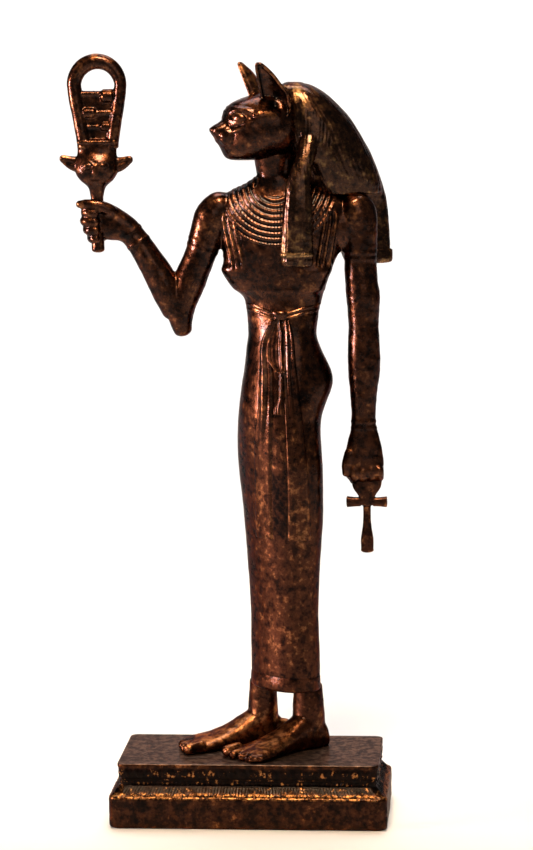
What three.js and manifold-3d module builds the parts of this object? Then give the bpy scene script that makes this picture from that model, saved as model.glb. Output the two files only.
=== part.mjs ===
// A statuette of a cat-headed goddess standing on a stepped plinth, as cast and bronzed for the shelf.
// The chest faces -Y, the head looks along -X, and the feet step between the two, as in a temple relief.
// The raised right hand holds a sistrum (a looped rattle), and the hanging left hand an ankh.
// Millimetres, +Z up. The origin is the middle of the plinth's underside.
import * as THREE from "three";
import { mergeVertices } from "three/addons/utils/BufferGeometryUtils.js";
import Module from "manifold-3d";

const wasm = await Module();
wasm.setup();

// Driving dimensions of the plinth
const slabLength = 108.6;
const slabDepth = 53;
const slabHeight = 13;
const corniceHeight = 12.25;
const corniceInset = 3.25; // from the slab's edge in to the lip of the cornice, on every side
const lipHeight = 1.75; // flat band along the top of the cornice
const throatInset = 1.1; // from the lip in to the hollow under it
const ledgeHeight = 3.2; // sloping foot of the cornice, from the slab's edge
const cornerRadius = 2;
const edgeRounding = 0.7; // on the slab's upper and lower edges

// Driving dimension of the figure, from the soles to the top of the sistrum
const figureHeight = 273.5;

// The tables below give the figure in shares of its height, 273.5 in all, and count heights from the soles.
const share = figureHeight / 273.5;
const plinthTop = slabHeight + corniceHeight;

const radians = THREE.MathUtils.degToRad;

// A bell-shaped swelling: 1 at its middle, fading over its width.
const bell = (distance, width) => Math.exp(-((distance / width) ** 2));

// The smaller angle from one direction to another, in degrees, from -180 to 180.
const angleBetween = (a, b) => ((((a - b) % 360) + 540) % 360) - 180;

const evenly = (from, to, count) =>
  Array.from({ length: count }, (_, i) => from + ((to - from) * i) / (count - 1));

// A smooth curve through (knot, value) pairs: cubic pieces that take their slope from their neighbours.
function curveThrough(knots, values) {
  const last = knots.length - 1;
  const slope = knots.map((_, i) => {
    const before = Math.max(i - 1, 0);
    const after = Math.min(i + 1, last);
    return (values[after] - values[before]) / (knots[after] - knots[before]);
  });
  return (t) => {
    if (t <= knots[0]) return values[0];
    if (t >= knots[last]) return values[last];
    const i = knots.findIndex((k) => k > t) - 1;
    const span = knots[i + 1] - knots[i];
    const s = (t - knots[i]) / span;
    const fromStart = values[i] * (1 + 2 * s) + slope[i] * span * s;
    const fromEnd = values[i + 1] * (3 - 2 * s) - slope[i + 1] * span * (1 - s);
    return fromStart * (1 - s) ** 2 + fromEnd * s ** 2;
  };
}

// One curve for each later column of a table, against its first column.
function curvesOf(table) {
  const knots = table.map((row) => row[0]);
  return table[0].slice(1).map((_, c) => curveThrough(knots, table.map((row) => row[c + 1])));
}

// A point on an oval of half sizes 1: 2 makes it round, and more makes it squarer.
function oval(turns, squareness) {
  const soft = (v) => Math.sign(v) * Math.abs(v) ** (2 / squareness);
  return [soft(Math.cos(2 * Math.PI * turns)), soft(Math.sin(2 * Math.PI * turns))];
}

// A closed skin over rings of points, joined ring to ring and capped at both ends.
function skin(rings) {
  const positions = [];
  const faces = [];
  const put = (p) => positions.push(p.x, p.y, p.z) / 3 - 1;
  const sides = rings[0].length;
  const rows = rings.map((ring) => ring.map(put));
  for (let i = 0; i + 1 < rows.length; i++) {
    for (let j = 0; j < sides; j++) {
      const next = (j + 1) % sides;
      const [a, b] = [rows[i][j], rows[i][next]];
      const [c, d] = [rows[i + 1][j], rows[i + 1][next]];
      faces.push(a, b, d, a, d, c);
    }
  }
  const cap = (ring, row, turned) => {
    const middle = ring.reduce((sum, p) => sum.add(p), new THREE.Vector3());
    const hub = put(middle.divideScalar(sides));
    row.forEach((k, j) => {
      const next = row[(j + 1) % sides];
      faces.push(...(turned ? [hub, next, k] : [hub, k, next]));
    });
  };
  cap(rings[0], rows[0], true);
  cap(rings[rings.length - 1], rows[rows.length - 1], false);
  const geometry = new THREE.BufferGeometry();
  geometry.setAttribute("position", new THREE.Float32BufferAttribute(positions, 3));
  geometry.setIndex(faces);
  return geometry;
}

// A closed geometry as a solid that can be joined and cut. Its faces are turned outwards if need be.
function solid(geometry) {
  const bare = geometry.clone();
  bare.deleteAttribute("normal");
  bare.deleteAttribute("uv");
  const merged = mergeVertices(bare, 1e-4);
  const vertProperties = new Float32Array(merged.attributes.position.array);
  const triVerts = new Uint32Array(merged.index.array);
  const corner = (k) => new THREE.Vector3().fromArray(vertProperties, 3 * triVerts[k]);
  let volume = 0;
  for (let k = 0; k < triVerts.length; k += 3) {
    volume += corner(k).dot(corner(k + 1).cross(corner(k + 2)));
  }
  if (volume < 0) triVerts.reverse();
  return new wasm.Manifold(new wasm.Mesh({ numProp: 3, vertProperties, triVerts }));
}

const join = (solids) => solids.reduce((a, b) => a.add(b));

// The level directions of a form that is turned from facing -Y towards facing -X.
function facing(turn) {
  const t = radians(turn);
  return {
    front: new THREE.Vector3(-Math.sin(t), -Math.cos(t), 0),
    left: new THREE.Vector3(Math.cos(t), -Math.sin(t), 0),
  };
}

// A standing form from a table of level ovals, each given by what the front view shows of it:
// height, left edge x, right edge x, middle y, half depth from front to back, turn, squareness.
// Angle 0 is its front and 90 its own left. swelling(angle, height) pushes the skin out.
function standing(table, swelling = () => 0) {
  const [leftEdge, rightEdge, middleY, halfDepth, turn, squareness] = curvesOf(table);
  const middleX = (height) => (leftEdge(height) + rightEdge(height)) / 2;
  const halfWidth = (height) => {
    const t = radians(turn(height));
    const reach = (rightEdge(height) - leftEdge(height)) / 2;
    return Math.sqrt(reach ** 2 - (halfDepth(height) * Math.sin(t)) ** 2) / Math.cos(t);
  };
  const place = (angle, height) => {
    const [ahead, aside] = oval(angle / 360, squareness(height));
    const out = swelling(angle, height);
    const { front, left } = facing(turn(height));
    return new THREE.Vector3(middleX(height), middleY(height), height)
      .addScaledVector(front, (halfDepth(height) + out) * ahead)
      .addScaledVector(left, (halfWidth(height) + out) * aside);
  };
  // A point lifted straight off the skin.
  const point = (angle, height, lift) => {
    const here = place(angle, height);
    if (lift === 0) return here.multiplyScalar(share);
    const around = place(angle + 1, height).sub(place(angle - 1, height));
    const up = place(angle, height + 0.25).sub(place(angle, height - 0.25));
    return here.addScaledVector(around.cross(up).normalize(), lift).multiplyScalar(share);
  };
  // The angle at which the near side stands at a given x.
  const angleAt = (height, x) => {
    let [low, high] = [-130, 130];
    for (let i = 0; i < 24; i++) {
      const middle = (low + high) / 2;
      if (place(middle, height).x < x) low = middle;
      else high = middle;
    }
    return (low + high) / 2;
  };
  return { point, angleAt, low: table[0][0], high: table[table.length - 1][0] };
}

function standingSolid(form, heights, sides, lift = () => 0) {
  return solid(
    skin(
      heights.map((height, i) =>
        Array.from({ length: sides }, (_, j) => form.point((360 * j) / sides, height, lift(i))),
      ),
    ),
  );
}

// A limb along a path: stations of x, y, z, half width and half thickness, with rounded ends.
// Its width lies along the direction wide, and roundness is how far its ends are drawn out.
function limb(stations, wide, { rows, sides, roundness = [1, 1], squareness = 2 }) {
  const middles = stations.map(([x, y, z]) => new THREE.Vector3(x, y, z));
  const path = new THREE.CatmullRomCurve3(middles, false, "centripetal");
  const knots = stations.map((_, i) => i / (stations.length - 1));
  const halfWidth = curveThrough(knots, stations.map((s) => s[3]));
  const halfThickness = curveThrough(knots, stations.map((s) => s[4]));
  const length = path.getLength();
  const ends = [stations[0][3] * roundness[0], stations[stations.length - 1][3] * roundness[1]];
  const across = new THREE.Vector3(...wide);
  const ring = (row) => {
    const t = (1 - Math.cos((Math.PI * row) / (rows - 1))) / 2;
    const tangent = path.getTangent(t);
    const w = across.clone().addScaledVector(tangent, -across.dot(tangent)).normalize();
    const h = new THREE.Vector3().crossVectors(tangent, w);
    const rounding = [t, 1 - t].map((part, end) => {
      const inwards = ends[end] > 0 ? Math.min((part * length) / ends[end], 1) : 1;
      return Math.sqrt(Math.max(1 - (1 - inwards) ** 2, 0.04));
    });
    const size = rounding[0] * rounding[1];
    return Array.from({ length: sides }, (_, j) => {
      const [c, s] = oval(j / sides, squareness);
      return path
        .getPoint(t)
        .addScaledVector(w, size * halfWidth(t) * c)
        .addScaledVector(h, size * halfThickness(t) * s)
        .multiplyScalar(share);
    });
  };
  return solid(skin(Array.from({ length: rows }, (_, row) => ring(row))));
}

// An egg-shaped swelling: its place, three half sizes, and its turn about the vertical.
function ball([x, y, z], [a, b, c], turn, sides) {
  const geometry = new THREE.SphereGeometry(1, sides, Math.ceil(sides * 0.6));
  geometry.rotateX(Math.PI / 2);
  geometry.scale(a, b, c);
  geometry.rotateZ(-radians(turn));
  geometry.translate(x, y, z);
  geometry.scale(share, share, share);
  return solid(geometry);
}

// A flat outline in the XZ plane with thickness along Y, its edges bevelled.
function plate(outline, middleY, thickness, bevel, holes = []) {
  const shape = new THREE.Shape(outline.map(([x, z]) => new THREE.Vector2(x, z)));
  holes.forEach((hole) => {
    shape.holes.push(new THREE.Path(hole.map(([x, z]) => new THREE.Vector2(x, z))));
  });
  const geometry = new THREE.ExtrudeGeometry(shape, {
    depth: thickness - 2 * bevel,
    bevelEnabled: bevel > 0,
    bevelThickness: bevel,
    bevelSize: bevel,
    bevelOffset: -bevel,
    bevelSegments: 1,
  });
  geometry.translate(0, 0, bevel - thickness / 2);
  geometry.rotateX(Math.PI / 2);
  geometry.translate(0, middleY, 0);
  geometry.scale(share, share, share);
  return solid(geometry);
}

// A rod between two points.
function rod(from, to, radius, sides) {
  const [a, b] = [new THREE.Vector3(...from), new THREE.Vector3(...to)];
  const along = b.clone().sub(a);
  const geometry = new THREE.CylinderGeometry(radius, radius, along.length(), sides);
  const upright = new THREE.Vector3(0, 1, 0);
  geometry.applyQuaternion(new THREE.Quaternion().setFromUnitVectors(upright, along.normalize()));
  const middle = a.add(b).divideScalar(2);
  geometry.translate(middle.x, middle.y, middle.z);
  geometry.scale(share, share, share);
  return solid(geometry);
}

// A band of relief over a standing form between two edges that are given by their x in the front view.
// lift(across) says how far it stands proud, with across from 0 to 1.
function overlay(form, heights, leftEdge, rightEdge, lift) {
  const columns = 4;
  const buried = -1.2;
  const ring = (height) => {
    const front = evenly(0, 1, columns + 1).map((across) => {
      const x = leftEdge(height) + (rightEdge(height) - leftEdge(height)) * across;
      return form.point(form.angleAt(height, x), height, lift(across));
    });
    const back = [rightEdge(height), leftEdge(height)].map((x) =>
      form.point(form.angleAt(height, x), height, buried),
    );
    return [...front, ...back];
  };
  return solid(skin(heights.map(ring)));
}

// Sheath dress and torso
const torso = standing(
  [
    [23.4, -0.6, 26.7, 8, 10.4, 44, 2.2],
    [26.5, -0.7, 26.8, 8, 10.5, 44, 2.2],
    [30, -0.4, 26.5, 8, 10, 44, 2.2],
    [40.5, -0.4, 26.5, 8, 9.8, 44, 2.2],
    [55, -0.6, 26.2, 7.8, 9.9, 45, 2.2],
    [74, -1.7, 27, 7.5, 11, 46, 2.2],
    [93.5, -2.9, 28.6, 7.2, 12.2, 47, 2.2],
    [112.5, -4.5, 28.6, 6.8, 12.8, 47, 2.2],
    [122, -4.8, 28.1, 6.6, 13, 46, 2.2],
    [131.5, -4.2, 27.7, 6.4, 12.8, 45, 2.2],
    [141, -3.3, 27.3, 6.3, 12.2, 43, 2.1],
    [150.5, -1.9, 27.2, 6.2, 11.6, 40, 2],
    [160, -0.6, 27, 6, 10.6, 33, 2],
    [164.5, -0.2, 26.7, 6, 10, 28, 2],
    [174, -0.5, 27.7, 6, 9.6, 18, 2],
    [179, -1.4, 29, 6, 9.8, 12, 2],
    [183.5, -4, 30.2, 6, 10.4, 7, 2],
    [188, -6.4, 32, 6, 10.9, 4, 2.1],
    [193, -8.4, 34, 6, 11.4, 2, 2.2],
    [197, -9.6, 36.4, 6, 11.8, 0, 2.2],
    [204.5, -11, 39.6, 6, 11.8, 0, 2.3],
    [211, -11.3, 40.2, 6, 11.2, 0, 2.3],
    [215, -11, 39.8, 6, 10.2, 0, 2.3],
    [218.3, -9.6, 37, 6, 9, 0, 2.2],
    [220.8, -6, 31.8, 6, 8, 0, 2.1],
    [223.3, -0.4, 25.6, 6, 7.2, 0, 2],
    [226.2, 4, 19.8, 6, 6.6, 0, 2],
  ],
  (angle, height) =>
    6 * bell(angleBetween(angle, 138), 34) * bell(height - 147.5, 11) +
    5.2 * bell(angleBetween(angle, 216), 34) * bell(height - 148.5, 10) +
    bell(angleBetween(angle, 0), 45) * bell(height - 140, 16) -
    1.2 * bell(angleBetween(angle, 180), 18) * bell(height - 188, 24),
);

function makeTorso() {
  const heights = [
    ...evenly(torso.low, torso.low + 7, 3),
    ...evenly(48, 130, 5),
    ...evenly(138, 166, 6),
    ...evenly(173, 213, 7),
    ...evenly(217, torso.high, 4),
  ];
  const shape = { rows: 6, sides: 8, roundness: [1, 0.7] };
  const rightBreast = [
    [-1, 1, 202, 3.6, 4],
    [-2.6, 0.4, 194.5, 6.6, 6.4],
    [-3.4, 0, 188.5, 6.6, 7.2],
    [-4.6, -0.6, 183.6, 4.2, 4.8],
  ];
  const leftBreast = [
    [25, 0, 202, 3.6, 4],
    [25.6, -0.8, 194.5, 5.8, 6],
    [25.8, -1.2, 188.5, 6, 6.9],
    [25.4, -1.6, 183.6, 3.8, 4.6],
  ];
  return join([
    standingSolid(torso, heights, 24),
    limb(rightBreast, [1, 0, 0], shape),
    limb(leftBreast, [1, 0, 0], shape),
  ]);
}

// Collar of rows, each lying over the next, from the neck out over chest, shoulders and back
function makeCollar() {
  const rowCount = 5;
  const segments = 26;
  const neckHeight = 224.5;
  const buried = -1.5;
  const rowTop = 1.4;
  const rowFoot = 0.6;
  const outerEdge = (angle) => 199.6 + 18 * Math.sin(radians(angle)) ** 2;
  const profile = [[0, buried]];
  for (let row = 0; row < rowCount; row++) {
    profile.push([(row + 0.08) / rowCount, rowFoot], [(row + 0.85) / rowCount, rowTop]);
  }
  profile.push([1, buried]);
  const ring = (angle) =>
    profile.map(([down, lift]) =>
      torso.point(angle, neckHeight + (outerEdge(angle) - neckHeight) * down, lift),
    );
  const positions = evenly(0, 360, segments + 1).slice(1).flatMap((angle) =>
    ring(angle).flatMap((p) => p.toArray()),
  );
  const at = (j, k) => (j % segments) * profile.length + (k % profile.length);
  const faces = [];
  for (let j = 0; j < segments; j++) {
    for (let k = 0; k < profile.length; k++) {
      faces.push(at(j, k), at(j + 1, k), at(j + 1, k + 1));
      faces.push(at(j, k), at(j + 1, k + 1), at(j, k + 1));
    }
  }
  const geometry = new THREE.BufferGeometry();
  geometry.setAttribute("position", new THREE.Float32BufferAttribute(positions, 3));
  geometry.setIndex(faces);
  return solid(geometry);
}

// Girdle, its knot, and the two pleated ends of the sash that hang from it
function makeSash() {
  const girdle = standingSolid(torso, [172.2, 172.7, 176.1, 176.6], 22, (i) =>
    i === 0 || i === 3 ? -0.6 : 1,
  );
  const knot = ball([16.7, -4.4, 172.6], [3.4, 2.4, 3.8], 0, 8);
  const heights = [86, 104, 122, 138, 149, 158, 165, 171.5];
  const pleats = (across) => 1.15 + 0.4 * Math.cos(4 * Math.PI * across);
  const edge = (...pairs) => curveThrough(pairs.map((p) => p[0]), pairs.map((p) => p[1]));
  const rightEnd = overlay(
    torso,
    heights,
    edge([86, 2.9], [120, 4.3], [148.5, 5.6], [160, 7.9], [171.5, 13.2]),
    edge([86, 10.7], [120, 11], [148.5, 12.6], [160, 13.6], [171.5, 16]),
    pleats,
  );
  const leftEnd = overlay(
    torso,
    heights,
    edge([86, 15.4], [120, 15.6], [148.5, 16.2], [160, 16.5], [171.5, 16.8]),
    edge([86, 24.7], [120, 24], [148.5, 23], [160, 21.4], [171.5, 19.2]),
    pleats,
  );
  return join([girdle, knot, rightEnd, leftEnd]);
}

// Head of the cat. Its own frame counts ahead of, to the left of and above a place in the neck.
const headTurn = 66;
const headPlace = new THREE.Vector3(11, 6, 0);
function inHead(ahead, left, height) {
  const way = facing(headTurn);
  return headPlace
    .clone()
    .addScaledVector(way.front, ahead)
    .addScaledVector(way.left, left)
    .add(new THREE.Vector3(0, 0, height));
}

function makeHead() {
  // Distance ahead, underside height, upper height, half width
  const [under, over, halfWidth] = curvesOf([
    [-8, 238, 256, 9],
    [-2, 233.6, 258.6, 11.8],
    [5, 232.4, 258.4, 12.6],
    [10, 232.2, 257.2, 12.4],
    [14, 232.3, 255.9, 11.2],
    [17.2, 232.8, 254.4, 9.5],
    [19, 233.6, 253, 7.8],
    [20.2, 234.8, 249.8, 6.2],
    [21.8, 237.4, 247.3, 5],
    [24, 240.8, 246, 3.4],
    [25.6, 243.6, 245.2, 1.2],
  ]);
  const stops = [-8, -3, 2, 7, 11.5, 15, 17.5, 19.3, 21, 22.8, 24.4, 25.6];
  const rings = stops.map((ahead) =>
    Array.from({ length: 14 }, (_, j) => {
      const [aside, up] = oval(j / 14, 2.3);
      const middle = (under(ahead) + over(ahead)) / 2;
      const half = (over(ahead) - under(ahead)) / 2;
      return inHead(ahead, halfWidth(ahead) * aside, middle + half * up).multiplyScalar(share);
    }),
  );
  const pieces = [solid(skin(rings))];
  [1, -1].forEach((side) => {
    const eye = inHead(16.4, side * 7.3, 249.4);
    const pad = inHead(20.2, side * 3, 240.8);
    pieces.push(ball(eye.toArray(), [1.6, 2.9, 1.8], headTurn + side * -48, 7));
    pieces.push(ball(pad.toArray(), [2.8, 2.7, 2.7], 0, 7));
    pieces.push(makeEar(side));
  });
  return join(pieces);
}

// An upright ear: a leaf with its hollow open to the side and ahead
function makeEar(side) {
  const wide = inHead(0.9, side * 0.35, 0).sub(inHead(0, 0, 0)).toArray();
  const open = inHead(-0.35, side * 0.9, 0).sub(inHead(0, 0, 0));
  const stations = [
    [0.7, 7, 248, 5.9, 3],
    [2, 8.4, 254.5, 5.6, 2.6],
    [4.5, 9.4, 261, 4.8, 2],
    [7, 9.8, 266, 3.2, 1.4],
    [9.4, 9.8, 270.6, 0.6, 0.5],
  ].map(([ahead, left, height, w, t]) => [...inHead(ahead, side * left, height).toArray(), w, t]);
  const rim = 1.5;
  const hollow = stations.slice(0, -1).map(([x, y, z, w, t], i) => {
    const out = rim - 0.3 * i;
    return [x + open.x * out, y + open.y * out, z + 2, w - rim, t];
  });
  const leaf = limb(stations, wide, { rows: 6, sides: 8, roundness: [0.2, 0.4] });
  return leaf.subtract(limb(hollow, wide, { rows: 5, sides: 6, roundness: [0.2, 0.4] }));
}

// Headcloth of hair: a cap that sweeps back to a tail, and two lappets. It is turned with the head.
const hairTurn = headTurn - 90;
const cap = standing([
  [219, 21, 51.8, 17.2, 15.2, hairTurn, 2.4],
  [224.75, 18, 50.8, 16.4, 16.6, hairTurn, 2.5],
  [230.75, 16, 48.8, 15.2, 17, hairTurn, 2.5],
  [236.75, 13.5, 46.2, 13.8, 16.8, hairTurn, 2.5],
  [242.75, 12, 42.9, 12.6, 16, hairTurn, 2.4],
  [248.75, 11, 39.1, 11.6, 14.8, hairTurn, 2.2],
  [253.75, 10.5, 35, 10.8, 13, hairTurn, 2.1],
  [257.75, 10.8, 30.8, 10, 10.6, hairTurn, 2],
  [260.5, 12.4, 26.2, 9.4, 7.4, hairTurn, 2],
  [262.3, 15.6, 21.4, 9.2, 3.2, hairTurn, 2],
]);
const tail = standing([
  [192.2, 38.8, 55, 16, 4, hairTurn, 2.8],
  [199.5, 36, 54.9, 16.4, 4.6, hairTurn, 2.8],
  [207.25, 33, 54.7, 16.8, 5.2, hairTurn, 2.7],
  [215, 29.5, 53.8, 17.2, 6.4, hairTurn, 2.6],
  [222, 26.5, 52, 17, 8.4, hairTurn, 2.5],
  [230, 23, 49, 15.6, 10, hairTurn, 2.4],
]);
const frontLappet = standing([
  [194.2, 15.2, 26.2, -8.3, 2.6, 0, 2.8],
  [208, 15.8, 26.7, -8.7, 2.8, 0, 2.8],
  [217, 16.3, 26.7, -8.5, 3, 0, 2.8],
  [225.5, 17.7, 25.6, -7.4, 3.4, 0, 2.6],
  [233, 18.6, 25, -5, 4, 0, 2.4],
  [241, 20.4, 26, -1.4, 4, 0, 2.2],
]);
const backLappet = standing([
  [194.2, 2.4, 14, 18.2, 2.6, 0, 2.8],
  [208, 2.5, 14, 18.8, 2.8, 0, 2.8],
  [217, 3, 13.9, 19.6, 3, 0, 2.8],
  [225.5, 4.8, 14, 20.4, 3.4, 0, 2.6],
  [233, 7, 15, 20.4, 4, 0, 2.4],
  [241, 12, 19, 18.6, 4, 0, 2.2],
]);

// A fall of hair with raised bands near its square end, given as pairs of heights
function banded(form, count, bands, sides) {
  const proud = 0.8;
  const slope = 0.2;
  const rows = evenly(form.low, form.high, count).map((height) => [height, 0]);
  bands.forEach(([from, to]) => {
    rows.push([from - slope, 0], [from, proud], [to, proud], [to + slope, 0]);
  });
  rows.sort((a, b) => a[0] - b[0]);
  return standingSolid(form, rows.map((row) => row[0]), sides, (i) => rows[i][1]);
}

function makeHair() {
  const domed = evenly(0, 90, 10).map((a) => cap.low + (cap.high - cap.low) * Math.sin(radians(a)));
  const lappetBands = [[196.4, 197.8], [200.8, 202.2]];
  return join([
    standingSolid(cap, domed, 16),
    banded(tail, 5, [[194.2, 197]], 12),
    banded(frontLappet, 6, lappetBands, 8),
    banded(backLappet, 6, lappetBands, 8),
  ]);
}

// Raised right arm, with the fist that closes round the sistrum's handle
function makeRaisedArm() {
  const upper = [
    [-9, 5.2, 220, 4.8, 5.4],
    [-12.2, 5.2, 214, 7.3, 6.8],
    [-14.3, 5, 206, 6.9, 6.6],
    [-17.6, 4.8, 197, 6.3, 6.1],
    [-21.4, 4.4, 187, 6.1, 5.8],
    [-25.4, 4, 178, 5.7, 5.4],
    [-26.2, 3.7, 171, 4.6, 4.8],
    [-24.7, 3.6, 164.4, 1.8, 2.6],
  ];
  const fore = [
    [-26.4, 3.7, 172, 4.8, 4.8],
    [-29.8, 3.3, 180, 6.2, 5.6],
    [-33.3, 3, 187.6, 6.1, 5.5],
    [-38.3, 2.5, 196.6, 5.4, 5],
    [-42.5, 2.2, 203.4, 4.9, 4.4],
    [-47.6, 2, 208.4, 5, 4.2],
  ];
  const palm = [
    [-42.4, 2.2, 203, 4.4, 4],
    [-46, 2, 207, 5.4, 4.3],
    [-51, 1.4, 209, 6.6, 4.3],
    [-55, 1.2, 209.9, 7, 4],
    [-58.6, 2, 209.4, 6.4, 3.6],
  ];
  const pieces = [
    limb(upper, [1, 0, 0], { rows: 10, sides: 10, roundness: [1, 0.5] }),
    limb(fore, [1, 0, 0], { rows: 7, sides: 10, roundness: [0.6, 0.3] }),
    limb(palm, [0, 0, 1], { rows: 5, sides: 8, roundness: [0.3, 1], squareness: 2.4 }),
  ];
  const fingerReach = [-61.8, -63, -64.4, -64.8];
  fingerReach.forEach((reach, i) => {
    const height = 203.2 + 3.35 * i;
    const finger = [
      [-54, 4.4, height, 1.9, 1.9],
      [reach + 3.4, 4.6, height, 1.9, 1.9],
      [reach + 1.8, 1, height, 1.9, 1.9],
      [reach + 3, -2.9, height - 0.2, 1.9, 1.8],
      [-56, -3.7, height - 0.3, 1.6, 1.5],
    ];
    pieces.push(limb(finger, [0, 0, 1], { rows: 5, sides: 5 }));
  });
  const thumb = [
    [-50, -0.6, 212.5, 2.8, 2.6],
    [-55.5, -2.6, 215.6, 2.3, 2.1],
    [-61, -2.6, 216.4, 2.1, 1.9],
    [-65.6, -2.2, 216.4, 1.3, 1.3],
  ];
  pieces.push(limb(thumb, [0, 0, 1], { rows: 5, sides: 6 }));
  return join(pieces);
}

// Sistrum: a looped frame with rods and their discs, on a cow-eared head and a round handle
function makeSistrum() {
  const middle = -56.8;
  const thickness = 5;
  const foot = 235;
  const crownBase = 263.2;
  const crownTop = crownBase + 10.3;
  const widening = [foot, foot + 5, foot + 11, foot + 19, crownBase];
  const halfWidth = curveThrough(widening, [7.4, 8, 9, 10.5, 11.5]);
  const barWidth = 4.9;
  const arch = (base, top, half, count) =>
    evenly(0, Math.PI, count).map((a) => [
      middle + half * Math.cos(a),
      base + (top - base) * Math.sin(a),
    ]);
  const sides = evenly(foot, crownBase, 5).slice(0, -1);
  const outline = [
    ...sides.map((z) => [middle + halfWidth(z), z]),
    ...arch(crownBase, crownTop, halfWidth(crownBase), 11),
    ...sides.reverse().map((z) => [middle - halfWidth(z), z]),
  ];
  const openingBottom = crownBase - 3.2;
  const openingHalf = halfWidth(crownBase) - barWidth;
  const opening = [
    [middle - openingHalf, openingBottom],
    ...arch(crownBase, crownTop - barWidth, openingHalf, 7).reverse(),
    [middle + openingHalf, openingBottom],
  ];
  const inner = (z) => halfWidth(z) - barWidth;
  const field = evenly(foot + 7, openingBottom - 2, 3).map((z) => [middle + inner(z), z]);
  const mirrored = field.map(([x, z]) => [2 * middle - x, z]).reverse();
  const recessDepth = 1.5;
  const recesses = [1, -1].map((side) =>
    plate([...field, ...mirrored], (side * thickness) / 2, 2 * recessDepth, 0),
  );
  const frame = plate(outline, 0, thickness, 0.9, [opening]).subtract(join(recesses));
  const rodHeights = evenly(openingBottom - 2.6, foot + 11.3, 3);
  const rods = rodHeights.map((z) =>
    rod([middle - inner(z) - 1, 0, z], [middle + inner(z) + 1, 0, z], 1.7, 5),
  );
  const discs = [-52.2, -59.8, -53.6].map((x, i) =>
    rod([x - 1.5, 0, rodHeights[i]], [x + 1.5, 0, rodHeights[i]], 2.9, 6),
  );
  const ridgeHeight = foot + 5;
  const ridge = limb(
    [[middle - 8.6, 0, ridgeHeight, 1.9, 3.6], [middle + 8.6, 0, ridgeHeight, 1.9, 3.6]],
    [0, 0, 1],
    { rows: 4, sides: 6, roundness: [0.8, 0.8] },
  );
  const handleX = -57.1;
  const handleRadius = 2.45;
  const face = [
    [handleX, 0, 237.5, 7, 3],
    [handleX, 0, 233.5, 7.9, 4],
    [handleX, 0, 230, 7.8, 4.6],
    [handleX, 0, 226, 5.2, 4.2],
    [handleX, 0, 222.6, 2.9, 3],
    [handleX, 0, 218.6, handleRadius, handleRadius],
  ];
  const head = limb(face, [1, 0, 0], { rows: 7, sides: 8, roundness: [0.1, 0] });
  const ears = [-1, 1].map((side) =>
    limb(
      [
        [handleX + side * 5.4, 0, 230, 3.6, 1.6],
        [handleX + side * 9.8, -0.3, 231.4, 3.1, 1.4],
        [handleX + side * 14.1, -0.6, 234, 0.8, 0.7],
      ],
      [0, 0, 1],
      { rows: 4, sides: 5, roundness: [1, 0.6] },
    ),
  );
  const handle = rod([handleX, 0, 197.5], [handleX, 0, 222], handleRadius, 8);
  return join([frame, handle, head, ridge, ...rods, ...discs, ...ears]);
}

// Hanging left arm, with the fist that holds the ankh
function makeHangingArm() {
  const arm = [
    [40, 5.5, 219.6, 4.6, 5.2],
    [42.6, 5.5, 212.5, 7.4, 7],
    [43.6, 5.5, 204, 7, 6.6],
    [44.1, 5.5, 194.3, 6.1, 6.1],
    [44.4, 5.3, 186, 6.2, 6],
    [45.1, 5.2, 178.5, 6.4, 6],
    [45.1, 5, 169.4, 5.7, 5.6],
    [45.3, 4.6, 160, 6.1, 5.6],
    [45.2, 4.2, 150.6, 6.1, 5.4],
    [45, 3.6, 141, 5.2, 4.7],
    [45, 3.3, 131.7, 4.8, 4.1],
    [45.2, 3.2, 124, 5.2, 3.9],
  ];
  const palm = [
    [45.2, 3.2, 130, 4.6, 3.7],
    [44.9, 3.2, 119.5, 6.9, 4],
    [44.9, 3.4, 113, 7.9, 4.2],
    [45.8, 3.8, 108.6, 6.6, 4],
  ];
  const pieces = [
    limb(arm, [1, 0, 0], { rows: 12, sides: 10, roundness: [1, 0.2] }),
    limb(palm, [1, 0, 0], { rows: 5, sides: 8, squareness: 2.4, roundness: [0, 0.5] }),
  ];
  [41.2, 44.5, 47.8, 50.9].forEach((x, i) => {
    const low = 107.8 + 0.35 * i;
    const finger = [
      [x, 0.6, 114, 1.9, 1.8],
      [x, 0.8, low + 2, 1.9, 1.8],
      [x, 3.6, low, 1.8, 1.8],
      [x, 7.4, low + 1.4, 1.8, 1.7],
      [x, 8, low + 5.5, 1.5, 1.5],
    ];
    pieces.push(limb(finger, [1, 0, 0], { rows: 5, sides: 5 }));
  });
  const thumb = [
    [40.6, 1.8, 121, 2.6, 2.5],
    [38.6, 1, 114.5, 2.1, 2.1],
    [37.6, 1.2, 108.4, 1.2, 1.4],
  ];
  pieces.push(limb(thumb, [1, 0, 0], { rows: 5, sides: 6 }));
  return join(pieces);
}

function makeAnkh() {
  const middle = 46.05;
  // Half width and height, from the foot up to the loop inside the fist
  const half = [
    [1.4, 79],
    [2.3, 80],
    [2.5, 84],
    [1.8, 89],
    [1.4, 94],
    [1.6, 97],
    [6, 97.4],
    [7.7, 96.9],
    [7.7, 101.2],
    [6, 100.7],
    [2.6, 100.7],
    [4.4, 102.4],
    [5.6, 105],
    [6, 110],
  ];
  const outline = [
    ...half.map(([w, z]) => [middle + w, z]),
    ...half.map(([w, z]) => [middle - w, z]).reverse(),
  ];
  return plate(outline, 4, 3.6, 0.6);
}

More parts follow.
